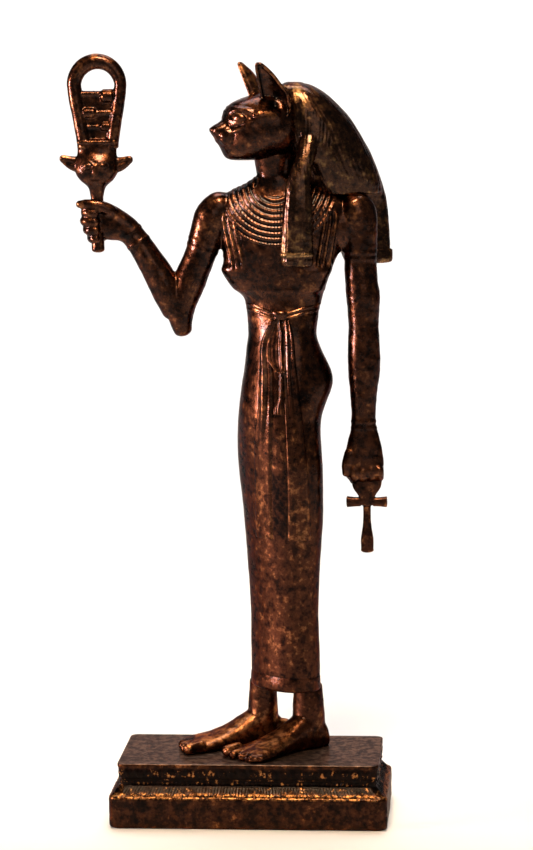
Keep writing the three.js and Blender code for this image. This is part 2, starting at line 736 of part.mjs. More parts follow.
// A leg below the hem with its bare foot: a place for the heel, the way it points, and the outer side
function makeLeg(heel, walking, outer) {
  const ahead = new THREE.Vector3(-Math.cos(radians(walking)), -Math.sin(radians(walking)), 0);
  const aside = new THREE.Vector3(-ahead.y, ahead.x, 0).multiplyScalar(outer);
  const at = (along, across, height) =>
    new THREE.Vector3(...heel, height).addScaledVector(ahead, along).addScaledVector(aside, across);
  // Distance from the heel, middle, half width, height of the instep
  const [middle, halfWidth, instep] = curvesOf([
    [-2.6, 0, 3.2, 4],
    [-1.4, 0, 4.6, 8],
    [3, 0, 5.8, 12.5],
    [9, 0, 5.9, 14.5],
    [14, 0.2, 5.9, 12.4],
    [20, 0.4, 6.4, 9.5],
    [27, 0.8, 8, 7.2],
    [33, 1.3, 9.4, 5.4],
    [37, 1.3, 9.2, 4.2],
    [40, 0.6, 7.4, 2.8],
  ]);
  const sides = 10;
  const rings = evenly(-2.6, 40, 9).map((along) =>
    Array.from({ length: sides }, (_, j) => {
      const [across, up] = oval(j / sides, 2.4);
      const rise = instep(along) * Math.max(0.45 + 0.55 * up, 0);
      return at(along, middle(along) + halfWidth(along) * across, rise).multiplyScalar(share);
    }),
  );
  const pieces = [solid(skin(rings))];
  // Reach, place across and radius, from the great toe to the little one
  [[43.6, -6.2, 2.7], [43.4, -1.6, 2], [42.2, 2.6, 1.9], [40.1, 6.5, 1.8], [37.4, 9.7, 1.7]].forEach(
    ([reach, across, radius]) => {
      const toe = [0, 0.55, 1].map((part) => {
        const along = reach - 9 * (1 - part);
        const place = at(along, across * (0.88 + 0.12 * part), radius * (1.35 - 0.37 * part));
        return [...place.toArray(), radius, radius * 0.95];
      });
      pieces.push(limb(toe, aside.toArray(), { rows: 4, sides: 5, roundness: [0.5, 0.9] }));
    },
  );
  // Distance from the heel, place across, height and half width of the ankle and the shin
  const shin = [
    [7, -0.4, 3, 5.9],
    [6.6, -0.5, 11, 6],
    [6.2, -0.6, 18, 6],
    [6.2, -1, 28, 5.8],
  ].map(([along, across, height, w]) => [...at(along, across, height).toArray(), w, w * 0.96]);
  pieces.push(limb(shin, aside.toArray(), { rows: 4, sides: 8, roundness: [0.4, 0] }));
  return join(pieces);
}

function makeNeck() {
  const stations = [
    [12, 6, 218, 7.8, 6.8],
    [10.9, 5.8, 226, 7, 6.4],
    [10.6, 5.4, 237, 8.4, 7.5],
  ];
  return limb(stations, [1, 0, 0], { rows: 4, sides: 12, roundness: [0, 0.3] });
}

function makeFigure() {
  return join([
    makeTorso(),
    makeCollar(),
    makeSash(),
    makeNeck(),
    makeHead(),
    makeHair(),
    makeRaisedArm(),
    makeSistrum(),
    makeHangingArm(),
    makeAnkh(),
    makeLeg([27.4, 9.7], 38.5, 1),
    makeLeg([8.4, 17.6], 31, -1),
  ]);
}

// Plinth: a slab under a hollow cornice, stacked up from level rounded rectangles
function makePlinth() {
  const cornerSteps = 3;
  const lip = 0.4; // how far the lip's edges are rounded
  const ledgeTop = slabHeight + ledgeHeight;
  const lipBottom = plinthTop - lipHeight;
  const throat = corniceInset + throatInset;
  const hollow = evenly(0, 1, 5).map((s) => [
    corniceInset + lip + (throatInset - lip) * (1 - s) ** 2,
    ledgeTop + (lipBottom - ledgeTop) * s,
  ]);
  // Inset and height of each level
  const levels = [
    [edgeRounding, 0],
    [0, edgeRounding],
    [0, slabHeight - edgeRounding],
    [edgeRounding, slabHeight],
    [throat - lip, ledgeTop - lip],
    ...hollow,
    [corniceInset, lipBottom + lip],
    [corniceInset, plinthTop - lip],
    [corniceInset + lip, plinthTop],
  ];
  const ring = ([inset, height]) => {
    const radius = Math.max(cornerRadius - 0.2 * inset, 0.5);
    const reachX = slabLength / 2 - inset - radius;
    const reachY = slabDepth / 2 - inset - radius;
    const corners = [[1, 1], [-1, 1], [-1, -1], [1, -1]];
    return corners.flatMap(([signX, signY], quarter) =>
      evenly(0, 90, cornerSteps).map((step) => {
        const a = radians(90 * quarter + step);
        return new THREE.Vector3(
          signX * reachX + radius * Math.cos(a),
          signY * reachY + radius * Math.sin(a),
          height,
        );
      }),
    );
  };
  return solid(skin(levels.map(ring)));
}

// A solid made back into a mesh, with a name, a place and a material of its own
function named(name, made, colour, height) {
  const { numProp, vertProperties, triVerts } = made.getMesh();
  const count = vertProperties.length / numProp;
  const positions = Array.from({ length: count }, (_, i) =>
    Array.from(vertProperties.slice(numProp * i, numProp * i + 3)),
  ).flat();
  const geometry = new THREE.BufferGeometry();
  geometry.setAttribute("position", new THREE.Float32BufferAttribute(positions, 3));
  geometry.setIndex([...triVerts]);
  geometry.computeVertexNormals();
  const material = new THREE.MeshStandardMaterial({ color: colour, roughness: 0.35, metalness: 0.6 });
  const mesh = new THREE.Mesh(geometry, material);
  mesh.name = name;
  mesh.position.z = height;
  return mesh;
}

const group = new THREE.Group();
group.add(named("plinth", makePlinth(), 0x4a2c1c, 0));
group.add(named("figure", makeFigure(), 0x5a3220, plinthTop));

export default group;
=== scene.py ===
# %% [markdown]
# # A cat-headed goddess, cast and bronzed
#
# The real object is a table-top statuette: a figure cast in one piece with everything it wears and holds,
# standing on a stepped plinth. It is cast in resin filled with bronze powder, stained nearly black, and then
# rubbed with copper and old gold so that the raised places shine.
#
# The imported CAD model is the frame. Its solids carry the main forms, and this lesson gives them the finer
# relief: strands of hair, beads, pleats, toes, and the ornament of the plinth. Each form is a surface worked
# out with numpy from two parameters, in millimetres. Heights are counted from the soles of the feet, and on
# the plinth from the ground.

import bpy
import numpy as np
from mathutils import Matrix, Vector


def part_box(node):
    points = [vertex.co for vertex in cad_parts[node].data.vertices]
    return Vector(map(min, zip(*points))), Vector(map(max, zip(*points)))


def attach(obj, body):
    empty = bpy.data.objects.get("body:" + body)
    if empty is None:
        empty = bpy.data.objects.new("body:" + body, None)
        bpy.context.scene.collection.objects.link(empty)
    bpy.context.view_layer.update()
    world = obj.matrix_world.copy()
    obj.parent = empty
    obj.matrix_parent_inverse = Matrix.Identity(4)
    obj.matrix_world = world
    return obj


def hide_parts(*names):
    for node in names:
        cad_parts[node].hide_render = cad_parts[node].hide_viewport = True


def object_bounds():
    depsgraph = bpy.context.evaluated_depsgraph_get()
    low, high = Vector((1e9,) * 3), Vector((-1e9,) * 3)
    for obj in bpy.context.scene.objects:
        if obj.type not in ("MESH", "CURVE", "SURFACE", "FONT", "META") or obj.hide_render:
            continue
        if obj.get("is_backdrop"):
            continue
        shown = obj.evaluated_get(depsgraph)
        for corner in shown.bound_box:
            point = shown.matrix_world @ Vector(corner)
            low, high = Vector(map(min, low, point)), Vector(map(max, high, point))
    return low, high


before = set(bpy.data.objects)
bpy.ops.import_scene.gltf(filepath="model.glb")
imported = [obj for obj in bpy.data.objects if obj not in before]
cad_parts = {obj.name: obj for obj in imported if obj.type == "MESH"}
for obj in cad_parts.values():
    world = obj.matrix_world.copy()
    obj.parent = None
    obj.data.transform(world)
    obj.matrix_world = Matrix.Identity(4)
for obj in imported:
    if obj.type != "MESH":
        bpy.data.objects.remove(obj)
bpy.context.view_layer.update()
MM = 0.001
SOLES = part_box("figure")[0].z / MM
print(f"the soles stand {SOLES:.2f} mm above the ground")

# %% [markdown]
# ## Curves through tables
#
# A sculptor measures a figure at chosen heights. Here each form is a short table of such measurements, and
# a smooth curve joins them. One helper does this for every table, for whole arrays at once, so that a form
# can be as fine as its relief needs. A Bezier curve object would also do, but arrays are quicker to bend.

# %% Smooth curves through measured values
def curve_through(knots, values):
    """Cubic pieces through (knot, value) pairs. A knot's slope is that of the line between its neighbours."""
    knots, values = np.asarray(knots, float), np.asarray(values, float)
    single = values.ndim == 1
    values = values.reshape(len(knots), -1)
    last = len(knots) - 1
    before, after = np.maximum(np.arange(last + 1) - 1, 0), np.minimum(np.arange(last + 1) + 1, last)
    slope = (values[after] - values[before]) / (knots[after] - knots[before])[:, None]

    def at(t):
        t = np.clip(np.asarray(t, float), knots[0], knots[-1])
        i = np.clip(np.searchsorted(knots, t, side="right") - 1, 0, last - 1)
        span = (knots[i + 1] - knots[i])[..., None]
        s = (t - knots[i])[..., None] / span
        start = values[i] * (1 + 2 * s) + slope[i] * span * s
        end = values[i + 1] * (3 - 2 * s) - slope[i + 1] * span * (1 - s)
        out = start * (1 - s) ** 2 + end * s**2
        return out[..., 0] if single else out

    return at


def bell(distance, width):
    """1 at the middle, fading over the width: e to the minus (distance / width) squared."""
    return np.exp(-((distance / width) ** 2))


def smooth_step(low, high, value):
    """0 below low, 1 above high, and a cubic ramp between."""
    t = np.clip((value - low) / (high - low), 0, 1)
    return t * t * (3 - 2 * t)


print("halfway between 0 and 1 the curve reads", float(curve_through([0, 1], [0.0, 1.0])(0.5)))

# %% [markdown]
# ## Meshes from arrays
#
# Every form below is a stack of rings of points. Quads join ring to ring, and a fan onto the middle point
# closes each end, so each shell is watertight. The sign of its volume tells whether its faces look outwards.

# %% Closed shells
def shell(rings):
    """Rings of points, (rows, sides, 3), closed to a shell: vertices, quads and the ends' triangles."""
    rows, sides = rings.shape[:2]
    k = np.arange(rows * sides).reshape(rows, sides)
    after = np.roll(k, -1, axis=1)
    quads = np.stack([k[:-1], after[:-1], after[1:], k[1:]], axis=-1).reshape(-1, 4)
    foot, top = rows * sides, rows * sides + 1
    low = np.stack([np.full(sides, foot), after[0], k[0]], axis=-1)
    high = np.stack([np.full(sides, top), k[-1], after[-1]], axis=-1)
    middles = np.stack([rings[0].mean(axis=0), rings[-1].mean(axis=0)])
    vertices = np.concatenate([rings.reshape(-1, 3), middles])
    triangles = np.concatenate([low, high])
    halves = np.concatenate([quads[:, [0, 1, 2]], quads[:, [0, 2, 3]], triangles])
    a, b, c = (vertices[halves[:, i]] for i in range(3))
    if np.einsum("ij,ij->", a, np.cross(b, c)) < 0:
        quads, triangles = quads[:, ::-1], triangles[:, ::-1]
    return vertices, quads, triangles


def gathered(shells):
    """Several shells as one set of vertices, quads and triangles."""
    starts = np.cumsum([0] + [len(s[0]) for s in shells[:-1]])
    vertices = np.concatenate([s[0] for s in shells])
    quads = np.concatenate([s[1] + n for s, n in zip(shells, starts)])
    triangles = np.concatenate([s[2] + n for s, n in zip(shells, starts)])
    return vertices, quads, triangles


def mesh_object(name, vertices, faces, above=SOLES):
    """An object whose mesh holds the vertices in metres, raised by the height of the soles."""
    mesh = bpy.data.meshes.new(name)
    placed = (vertices + [0, 0, above]) * MM
    mesh.from_pydata(placed.tolist(), [], [f.tolist() for part in faces if len(part) for f in part])
    mesh.shade_smooth()
    made = bpy.data.objects.new(name, mesh)
    bpy.context.scene.collection.objects.link(made)
    return made


ring = np.linspace(0, 2 * np.pi, 12, endpoint=False)
tube = np.stack([np.stack([np.cos(ring), np.sin(ring), np.full(12, z)], axis=-1) for z in (0.0, 1.0)])
print("a test tube has", len(shell(tube)[1]), "quads and", len(shell(tube)[2]), "end triangles")

# %% [markdown]
# ## Standing forms
#
# Torso, dress and hair are standing forms: level ovals whose edges are read off the front view. Each row of
# a table gives the height, the left and right edge, the middle and half depth from front to back, how far
# the oval is turned, and its squareness. A whole body can be swept this way, and a swelling function adds
# what ovals can't say, such as the buttocks.

# %% Standing forms
def oval(angle, squareness):
    """A point of an oval with half sizes 1, seen from its middle at this angle: cos and sin, both scaled so
    that |cos|^squareness + |sin|^squareness is 1."""
    c, s = np.cos(np.radians(angle)), np.sin(np.radians(angle))
    size = (np.abs(c) ** squareness + np.abs(s) ** squareness) ** (-1 / squareness)
    return c * size, s * size


class StandingForm:
    """Level ovals stacked up from a table. Angle 0 is the form's front and 90 its own left."""

    def __init__(self, table, swelling=None):
        table = np.array(table, float)
        self.curves = curve_through(table[:, 0], table[:, 1:])
        self.swelling = swelling
        self.low, self.high = table[0, 0], table[-1, 0]

    def place(self, angle, height):
        """The point of the skin: the oval's middle, plus its half depth times cos along the front direction,
        plus its half width times sin along the form's left."""
        angle, height = np.broadcast_arrays(np.asarray(angle, float), np.asarray(height, float))
        left, right, middle, depth, turn, squareness = np.moveaxis(self.curves(height), -1, 0)
        t = np.radians(turn)
        width = np.sqrt(((right - left) / 2) ** 2 - (depth * np.sin(t)) ** 2) / np.cos(t)
        ahead, aside = oval(angle, squareness)
        out = 0 if self.swelling is None else self.swelling(angle, height)
        forward, sideways = (depth + out) * ahead, (width + out) * aside
        x = (left + right) / 2 - np.sin(t) * forward + np.cos(t) * sideways
        y = middle - np.cos(t) * forward - np.sin(t) * sideways
        return np.stack([x, y, height], axis=-1)

    def lifted(self, angle, height, lift):
        """The point moved out along the skin's normal, the cross product of its two directions."""
        around = self.place(angle + 0.5, height) - self.place(angle - 0.5, height)
        up = self.place(angle, height + 0.2) - self.place(angle, height - 0.2)
        normal = np.cross(around, up)
        normal /= np.linalg.norm(normal, axis=-1, keepdims=True)
        return self.place(angle, height) + normal * np.asarray(lift, float)[..., None]

    def angle_at(self, height, x):
        """The angle at which the near side stands at x, found by halving."""
        height, x = np.broadcast_arrays(np.asarray(height, float), np.asarray(x, float))
        low, high = np.full(x.shape, -130.0), np.full(x.shape, 130.0)
        for _ in range(22):
            middle = (low + high) / 2
            short = self.place(middle, height)[..., 0] < x
            low, high = np.where(short, middle, low), np.where(short, high, middle)
        return (low + high) / 2


def turned(a, b):
    """The smaller angle from b to a, in degrees."""
    return (a - b + 540) % 360 - 180


# %% The torso and the sheath dress, from hem to neck
def figure_swelling(angle, height):
    """Two buttocks, the belly, the breasts and the hollow of the spine: bells in angle times bells in height.
    A breast rises slowly from above to its point and falls off quickly below."""
    bust = curve_through([178.5, 180, 183.5, 187, 190, 191.6, 193.5, 198, 204],
                         [0, 0.4, 2.6, 3.0, 3.3, 2.3, 0.9, 0.2, 0])
    return (
        6 * bell(turned(angle, 138), 34) * bell(height - 147.5, 11)
        + 5.2 * bell(turned(angle, 216), 34) * bell(height - 148.5, 10)
        + bell(turned(angle, 0), 45) * bell(height - 140, 16)
        + bust(height) * (bell(turned(angle, -66), 27) + 0.75 * bell(turned(angle, 54), 24))
        - 1.2 * bell(turned(angle, 180), 18) * bell(height - 188, 24)
    )


torso = StandingForm(
    [
        [23.4, -0.6, 26.7, 8, 10.4, 44, 2.2],
        [26.5, -0.7, 26.8, 8, 10.5, 44, 2.2],
        [30, -0.5, 26.8, 8, 10.1, 44, 2.2],
        [40.5, -0.6, 26.8, 8, 9.9, 44, 2.2],
        [55, -0.5, 26.4, 7.8, 9.9, 45, 2.2],
        [74, -1.4, 27.2, 7.5, 11, 46, 2.2],
        [93.5, -2.7, 28.5, 7.2, 12.2, 47, 2.2],
        [112.5, -4.5, 28.6, 6.8, 12.8, 47, 2.2],
        [122, -4.6, 28.0, 6.6, 13, 46, 2.2],
        [131.5, -4.0, 27.4, 6.4, 12.8, 45, 2.2],
        [141, -3.1, 27.3, 6.3, 12.2, 43, 2.1],
        [150.5, -1.9, 27.4, 6.2, 11.6, 40, 2],
        [160, -0.8, 27.2, 6, 10.6, 33, 2],
        [164.5, -0.2, 26.7, 6, 10, 28, 2],
        [174, -0.5, 27.9, 6, 9.6, 18, 2],
        [179, -1.4, 29.2, 6, 9.8, 12, 2],
        [183.5, -4, 30.5, 6, 10.4, 7, 2],
        [188, -6.4, 32.1, 6, 10.9, 4, 2.1],
        [193, -8.4, 33.9, 6, 11.4, 2, 2.2],
        [197, -9.2, 36.2, 6, 11.8, 0, 2.2],
        [204.5, -10.6, 39.6, 6, 11.8, 0, 2.3],
        [211, -11.3, 40.2, 6, 11.2, 0, 2.3],
        [215, -11, 39.8, 6, 10.2, 0, 2.3],
        [218.3, -9.6, 37, 6, 9, 0, 2.2],
        [220.8, -6, 31.8, 6, 8, 0, 2.1],
        [223.3, -0.4, 25.6, 6, 7.2, 0, 2],
        [226.2, 4, 19.8, 6, 6.6, 0, 2],
    ],
    figure_swelling,
)
print(f"the torso stands from {torso.low} to {torso.high} mm above the soles")

# %% [markdown]
# ## Limbs, and clay that flows together
#
# An arm, a finger or a toe is an oval carried along a bent path. Modelled in wax they flow into each other,
# and a plain overlap of shells would leave hard creases. So the overlapping shells are fused with Blender's
# voxel Remesh and eased with Smooth, which rounds every joint as a modelling tool would. Metaballs would
# flow too, but they lose the measured outline.

# %% Limbs and fusing
def limb(stations, wide, rows=60, sides=40, roundness=(1, 1), squareness=2):
    """An oval carried along a smooth path through (x, y, z, half width, half thickness) stations. Its width
    lies along the direction wide, and it shrinks to a rounded tip at both ends."""
    stations = np.array(stations, float)
    knots = np.linspace(0, 1, len(stations))
    curve = curve_through(knots, stations)
    t = (1 - np.cos(np.linspace(0, np.pi, rows))) / 2
    middle, half = curve(t)[:, :3], curve(t)[:, 3:]
    tangent = curve(np.minimum(t + 1e-3, 1))[:, :3] - curve(np.maximum(t - 1e-3, 0))[:, :3]
    tangent /= np.linalg.norm(tangent, axis=1, keepdims=True)
    across = np.array(wide, float) - tangent * (tangent @ np.array(wide, float))[:, None]
    across /= np.linalg.norm(across, axis=1, keepdims=True)
    through = np.cross(tangent, across)
    length = np.linalg.norm(np.diff(curve(np.linspace(0, 1, 200))[:, :3], axis=0), axis=1).sum()
    size = np.ones(rows)
    for part, end, drawn in ((t, stations[0, 3], roundness[0]), (1 - t, stations[-1, 3], roundness[1])):
        if drawn > 0:
            inwards = np.minimum(part * length / (end * drawn), 1)
            size *= np.sqrt(np.maximum(1 - (1 - inwards) ** 2, 0.001))
    c, s = oval(np.linspace(0, 360, sides, endpoint=False), squareness)
    rings = (
        middle[:, None]
        + across[:, None] * (size * half[:, 0])[:, None, None] * c[None, :, None]
        + through[:, None] * (size * half[:, 1])[:, None, None] * s[None, :, None]
    )
    return shell(rings)


def egg(middle, halves, turn=0, rows=30, sides=40):
    """An ellipsoid: latitude and longitude on a sphere, stretched by three half sizes and turned about Z."""
    latitude = np.linspace(-np.pi / 2 + 0.02, np.pi / 2 - 0.02, rows)[:, None]
    longitude = np.linspace(0, 2 * np.pi, sides, endpoint=False)[None, :]
    x = np.cos(latitude) * np.cos(longitude) * halves[0]
    y = np.cos(latitude) * np.sin(longitude) * halves[1]
    z = np.sin(latitude) * halves[2] * np.ones_like(longitude)
    t = -np.radians(turn)
    turned_x, turned_y = x * np.cos(t) - y * np.sin(t), x * np.sin(t) + y * np.cos(t)
    return shell(np.stack([turned_x, turned_y, z], axis=-1) + np.array(middle, float))


def fused(name, shells, voxel, easing):
    """Overlapping shells remeshed into one skin, then eased: vertices in mm, quads, and no triangles."""
    vertices, quads, triangles = gathered(shells)
    rough = mesh_object(name + "_rough", vertices, (quads, triangles), above=0)
    remesh = rough.modifiers.new("one_skin", "REMESH")
    remesh.mode, remesh.voxel_size = "VOXEL", voxel * MM
    ease = rough.modifiers.new("easing", "SMOOTH")
    ease.factor, ease.iterations = 0.5, easing
    mesh = bpy.data.meshes.new_from_object(rough.evaluated_get(bpy.context.evaluated_depsgraph_get()))
    points = np.empty(len(mesh.vertices) * 3)
    mesh.vertices.foreach_get("co", points)
    corners = np.empty(len(mesh.loops), int)
    mesh.loops.foreach_get("vertex_index", corners)
    bpy.data.objects.remove(rough)
    print(f"{name}: {len(shells)} shells fused into {len(mesh.polygons)} quads")
    return points.reshape(-1, 3) / MM, corners.reshape(-1, 4), np.empty((0, 3), int)


# %% [markdown]
# ## Normals, wobble and wear
#
# Relief is added by moving points along their normals. A cast is never quite even, so every surface also
# gets a slight wobble. The last helper measures how convex the skin is at each point and stores it as the
# wear attribute, because rubbing on metal wax reaches the ridges and misses the hollows. In some places the
# attribute also carries painted shade, which lowers it, and painted highlights, which raise it.

# %% Relief helpers
def normals_of(vertices, quads):
    """Each point's normal: the sum of the cross products of the diagonals of the quads round it."""
    a, b, c, d = (vertices[quads[:, i]] for i in range(4))
    corners = quads.ravel()
    spread = np.repeat(np.cross(c - a, d - b), 4, axis=0)
    total = np.stack([np.bincount(corners, spread[:, i], len(vertices)) for i in range(3)], axis=-1)
    return total / np.maximum(np.linalg.norm(total, axis=1, keepdims=True), 1e-12)


def raised(skin, relief):
    """A skin moved out along its normals by the relief, in millimetres."""
    vertices, quads, triangles = skin
    return vertices + normals_of(vertices, quads) * relief[:, None], quads, triangles


def neighbour_mean(values, quads, count):
    """The mean of the values at both neighbours of a point in each quad round it."""
    corners = quads.ravel()
    pairs = (np.roll(quads, 1, axis=1).ravel(), np.roll(quads, -1, axis=1).ravel())
    share = np.maximum(np.bincount(corners, minlength=count) * 2, 1)
    columns = values.reshape(count, -1).T
    sums = [sum(np.bincount(corners, column[p], count) for p in pairs) / share for column in columns]
    return np.stack(sums, axis=-1).reshape(values.shape)


def cast_wobble(points):
    """A slow unevenness under 0.1 mm: sines of three slanting directions, added up for four wavelengths."""
    total = np.zeros(points.shape[:-1])
    for i, (wavelength, depth) in enumerate(((31, 0.06), (17, 0.05), (9, 0.035), (5.3, 0.025))):
        k = 2 * np.pi / wavelength
        x, y, z = (points[..., j] * k for j in range(3))
        total += depth * np.sin(x + 0.6 * z + i) * np.cos(y - 0.5 * z + 2 * i) * np.sin(z + 0.4 * x + 3 * i)
    return total * 2


def wear_of(vertices, quads, softness):
    """How convex the skin is, from 0 in a hollow to 1 on a ridge: the height of each point above the mean of
    its neighbours, divided by the square of their distance, eased and squashed round 0.5."""
    normals = normals_of(vertices, quads)
    mean = neighbour_mean(vertices, quads, len(vertices))
    corners, following = quads.ravel(), np.roll(quads, -1, axis=1).ravel()
    edges = np.linalg.norm(vertices[corners] - vertices[following], axis=1)
    ends = np.concatenate([corners, following])
    total = np.bincount(ends, np.tile(edges, 2), len(vertices))
    spacing = total / np.maximum(np.bincount(ends, minlength=len(vertices)), 1) + 1e-6
    bend = np.einsum("ij,ij->i", vertices - mean, normals) / spacing**2
    for _ in range(softness):
        bend = neighbour_mean(bend, quads, len(vertices))
    return 0.5 + 0.5 * np.tanh(bend * 1.6)


def piece(name, parts, slot, material, softness=2, above=SOLES, stain_and_painted_light=0):
    """A finished piece of the statuette: its mesh, wear attribute and material, and its place on the body.
    Stain and painted shade lower the wear by the amount given; where it is negative, rubbed wax and painted
    highlights raise it."""
    vertices, quads, triangles = parts
    made = mesh_object(name, vertices, (quads, triangles), above)
    attribute = made.data.attributes.new("wear_and_painted_light", "FLOAT", "POINT")
    wear_and_painted_light = np.clip(wear_of(vertices, quads, softness) - stain_and_painted_light, 0, 1)
    attribute.data.foreach_set("value", wear_and_painted_light.astype(np.float32))
    made.data.materials.append(material)
    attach(made, "root")
    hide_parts("plinth" if slot.startswith("plinth") else "figure")
    print(f"{name}: {2 * len(quads) + len(triangles)} triangles")


# %% [markdown]
# ## The finish
#
# The skin is cold-cast bronze: resin with metal powder, brushed with a nearly black stain, then dry-brushed
# with copper and old-gold wax, and lacquered. So the material is mostly metallic, its colour is a mix of
# stain, copper and gold that follows wear, painted shade, painted highlights and a mottled noise, and a clear
# coat gives it the gloss. An image texture could do it too, but noise in object coordinates has no seams and
# keeps its scale in millimetres.

# %% Colours and nodes
def linear(sheet_colour):
    """An sRGB hex colour turned to the linear numbers that Blender's sockets take."""
    channels = np.array([int(sheet_colour[i : i + 2], 16) for i in (1, 3, 5)]) / 255
    bent = np.where(channels <= 0.04045, channels / 12.92, ((channels + 0.055) / 1.055) ** 2.4)
    return (*bent.tolist(), 1.0)


def add(tree, kind, settings=(), **links):
    """One node with its settings (a node property, or a socket by name or number) and its links."""
    node = tree.nodes.new(kind)
    for key, value in dict(settings).items():
        if isinstance(key, str) and hasattr(node, key):
            setattr(node, key, value)
        else:
            node.inputs[key].default_value = value
    for key, source in links.items():
        socket = int(key[1:]) if key[0] == "_" else key.replace("_", " ")
        tree.links.new(source, node.inputs[socket])
    return node


def noise(tree, place, size_mm, detail, roughness, offset=(0, 0, 0)):
    """Noise whose blotches are about size_mm across on the real piece."""
    mapped = add(tree, "ShaderNodeMapping", {"Location": offset}, Vector=place)
    settings = {"Scale": 1 / (size_mm * MM), "Detail": detail, "Roughness": roughness}
    return add(tree, "ShaderNodeTexNoise", settings, Vector=mapped.outputs[0]).outputs["Fac"]


def combined(tree, value, factor, plus):
    """value times factor, plus another. Factor and plus are numbers or other nodes' outputs."""
    node = add(tree, "ShaderNodeMath", {"operation": "MULTIPLY_ADD"}, _0=value)
    for socket, term in ((node.inputs[1], factor), (node.inputs[2], plus)):
        if isinstance(term, (int, float)):
            socket.default_value = term
        else:
            tree.links.new(term, socket)
    return node.outputs[0]


def ramped(tree, value, low, high, to=(0.0, 1.0)):
    """A smooth ramp of value from low to high."""
    settings = {"interpolation_type": "SMOOTHSTEP", 1: low, 2: high, 3: to[0], 4: to[1]}
    return add(tree, "ShaderNodeMapRange", settings, Value=value).outputs[0]


def mixed(tree, share, a, b):
    """Two colours mixed by a share. A colour is a hex string or another node's output."""
    node = add(tree, "ShaderNodeMix", {"data_type": "RGBA"}, _0=share)
    for socket, colour in ((node.inputs[6], a), (node.inputs[7], b)):
        if isinstance(colour, str):
            socket.default_value = linear(colour)
        else:
            tree.links.new(colour, socket)
    return node.outputs[2]


print("the stain is", [round(c, 4) for c in linear("#1a0d0a")[:3]], "in linear light")


# %% Cold-cast bronze, stained and dry-brushed
RECESS_STAIN, CORNICE_STAIN, OLD_GOLD, LACQUER_TINT = "#090504", "#0b0705", "#b07440", "#a08070"
DUSTY_STAIN, DUST = "#352a25", "#6b564a"


def aged_cornice(tree, cornice, colour, rough, height, wear_and_painted_light, specks, mottle):
    """The colour and roughness of a cornice from its slab's top to its lip, both in metres. Between them the
    stain is nearly black, with gold in glints; along the slab's top edge, speckled gold is a painted
    highlight, and above the lip it is dusty."""
    slab_top, lip = cornice
    in_cornice = combined(tree, ramped(tree, height, slab_top + 0.8 * MM, slab_top + 1.8 * MM),
                          ramped(tree, height, lip, lip - 1.0 * MM), 0.0)
    # painted highlight: speckled old gold along the rounded top edge of the slab, where the light catches it
    at_edge = combined(tree, ramped(tree, height, slab_top - 1.4 * MM, slab_top - 0.6 * MM),
                       ramped(tree, height, slab_top + 1.2 * MM, slab_top + 0.4 * MM), 0.0)
    glints = ramped(tree, combined(tree, wear_and_painted_light, 0.3, combined(tree, specks, 0.6, mottle)), 1.04, 1.2)
    edge_painted_highlight = combined(tree, at_edge, ramped(tree, specks, 0.46, 0.6), 0.0)
    gold = combined(tree, in_cornice, glints, edge_painted_highlight)
    colour = mixed(tree, combined(tree, in_cornice, 0.85, 0.0), colour, CORNICE_STAIN)
    colour = mixed(tree, gold, colour, OLD_GOLD)
    on_top = ramped(tree, height, lip + 1.4 * MM, lip + 1.6 * MM)
    dusty = ramped(tree, combined(tree, specks, 0.5, mottle), 0.62, 0.9)
    colour = mixed(tree, on_top, colour, mixed(tree, dusty, DUSTY_STAIN, DUST))
    matt = combined(tree, on_top, 0.52, 0.0)
    rough = add(tree, "ShaderNodeMath", {"operation": "MAXIMUM"}, _0=rough, _1=matt).outputs[0]
    return colour, rough


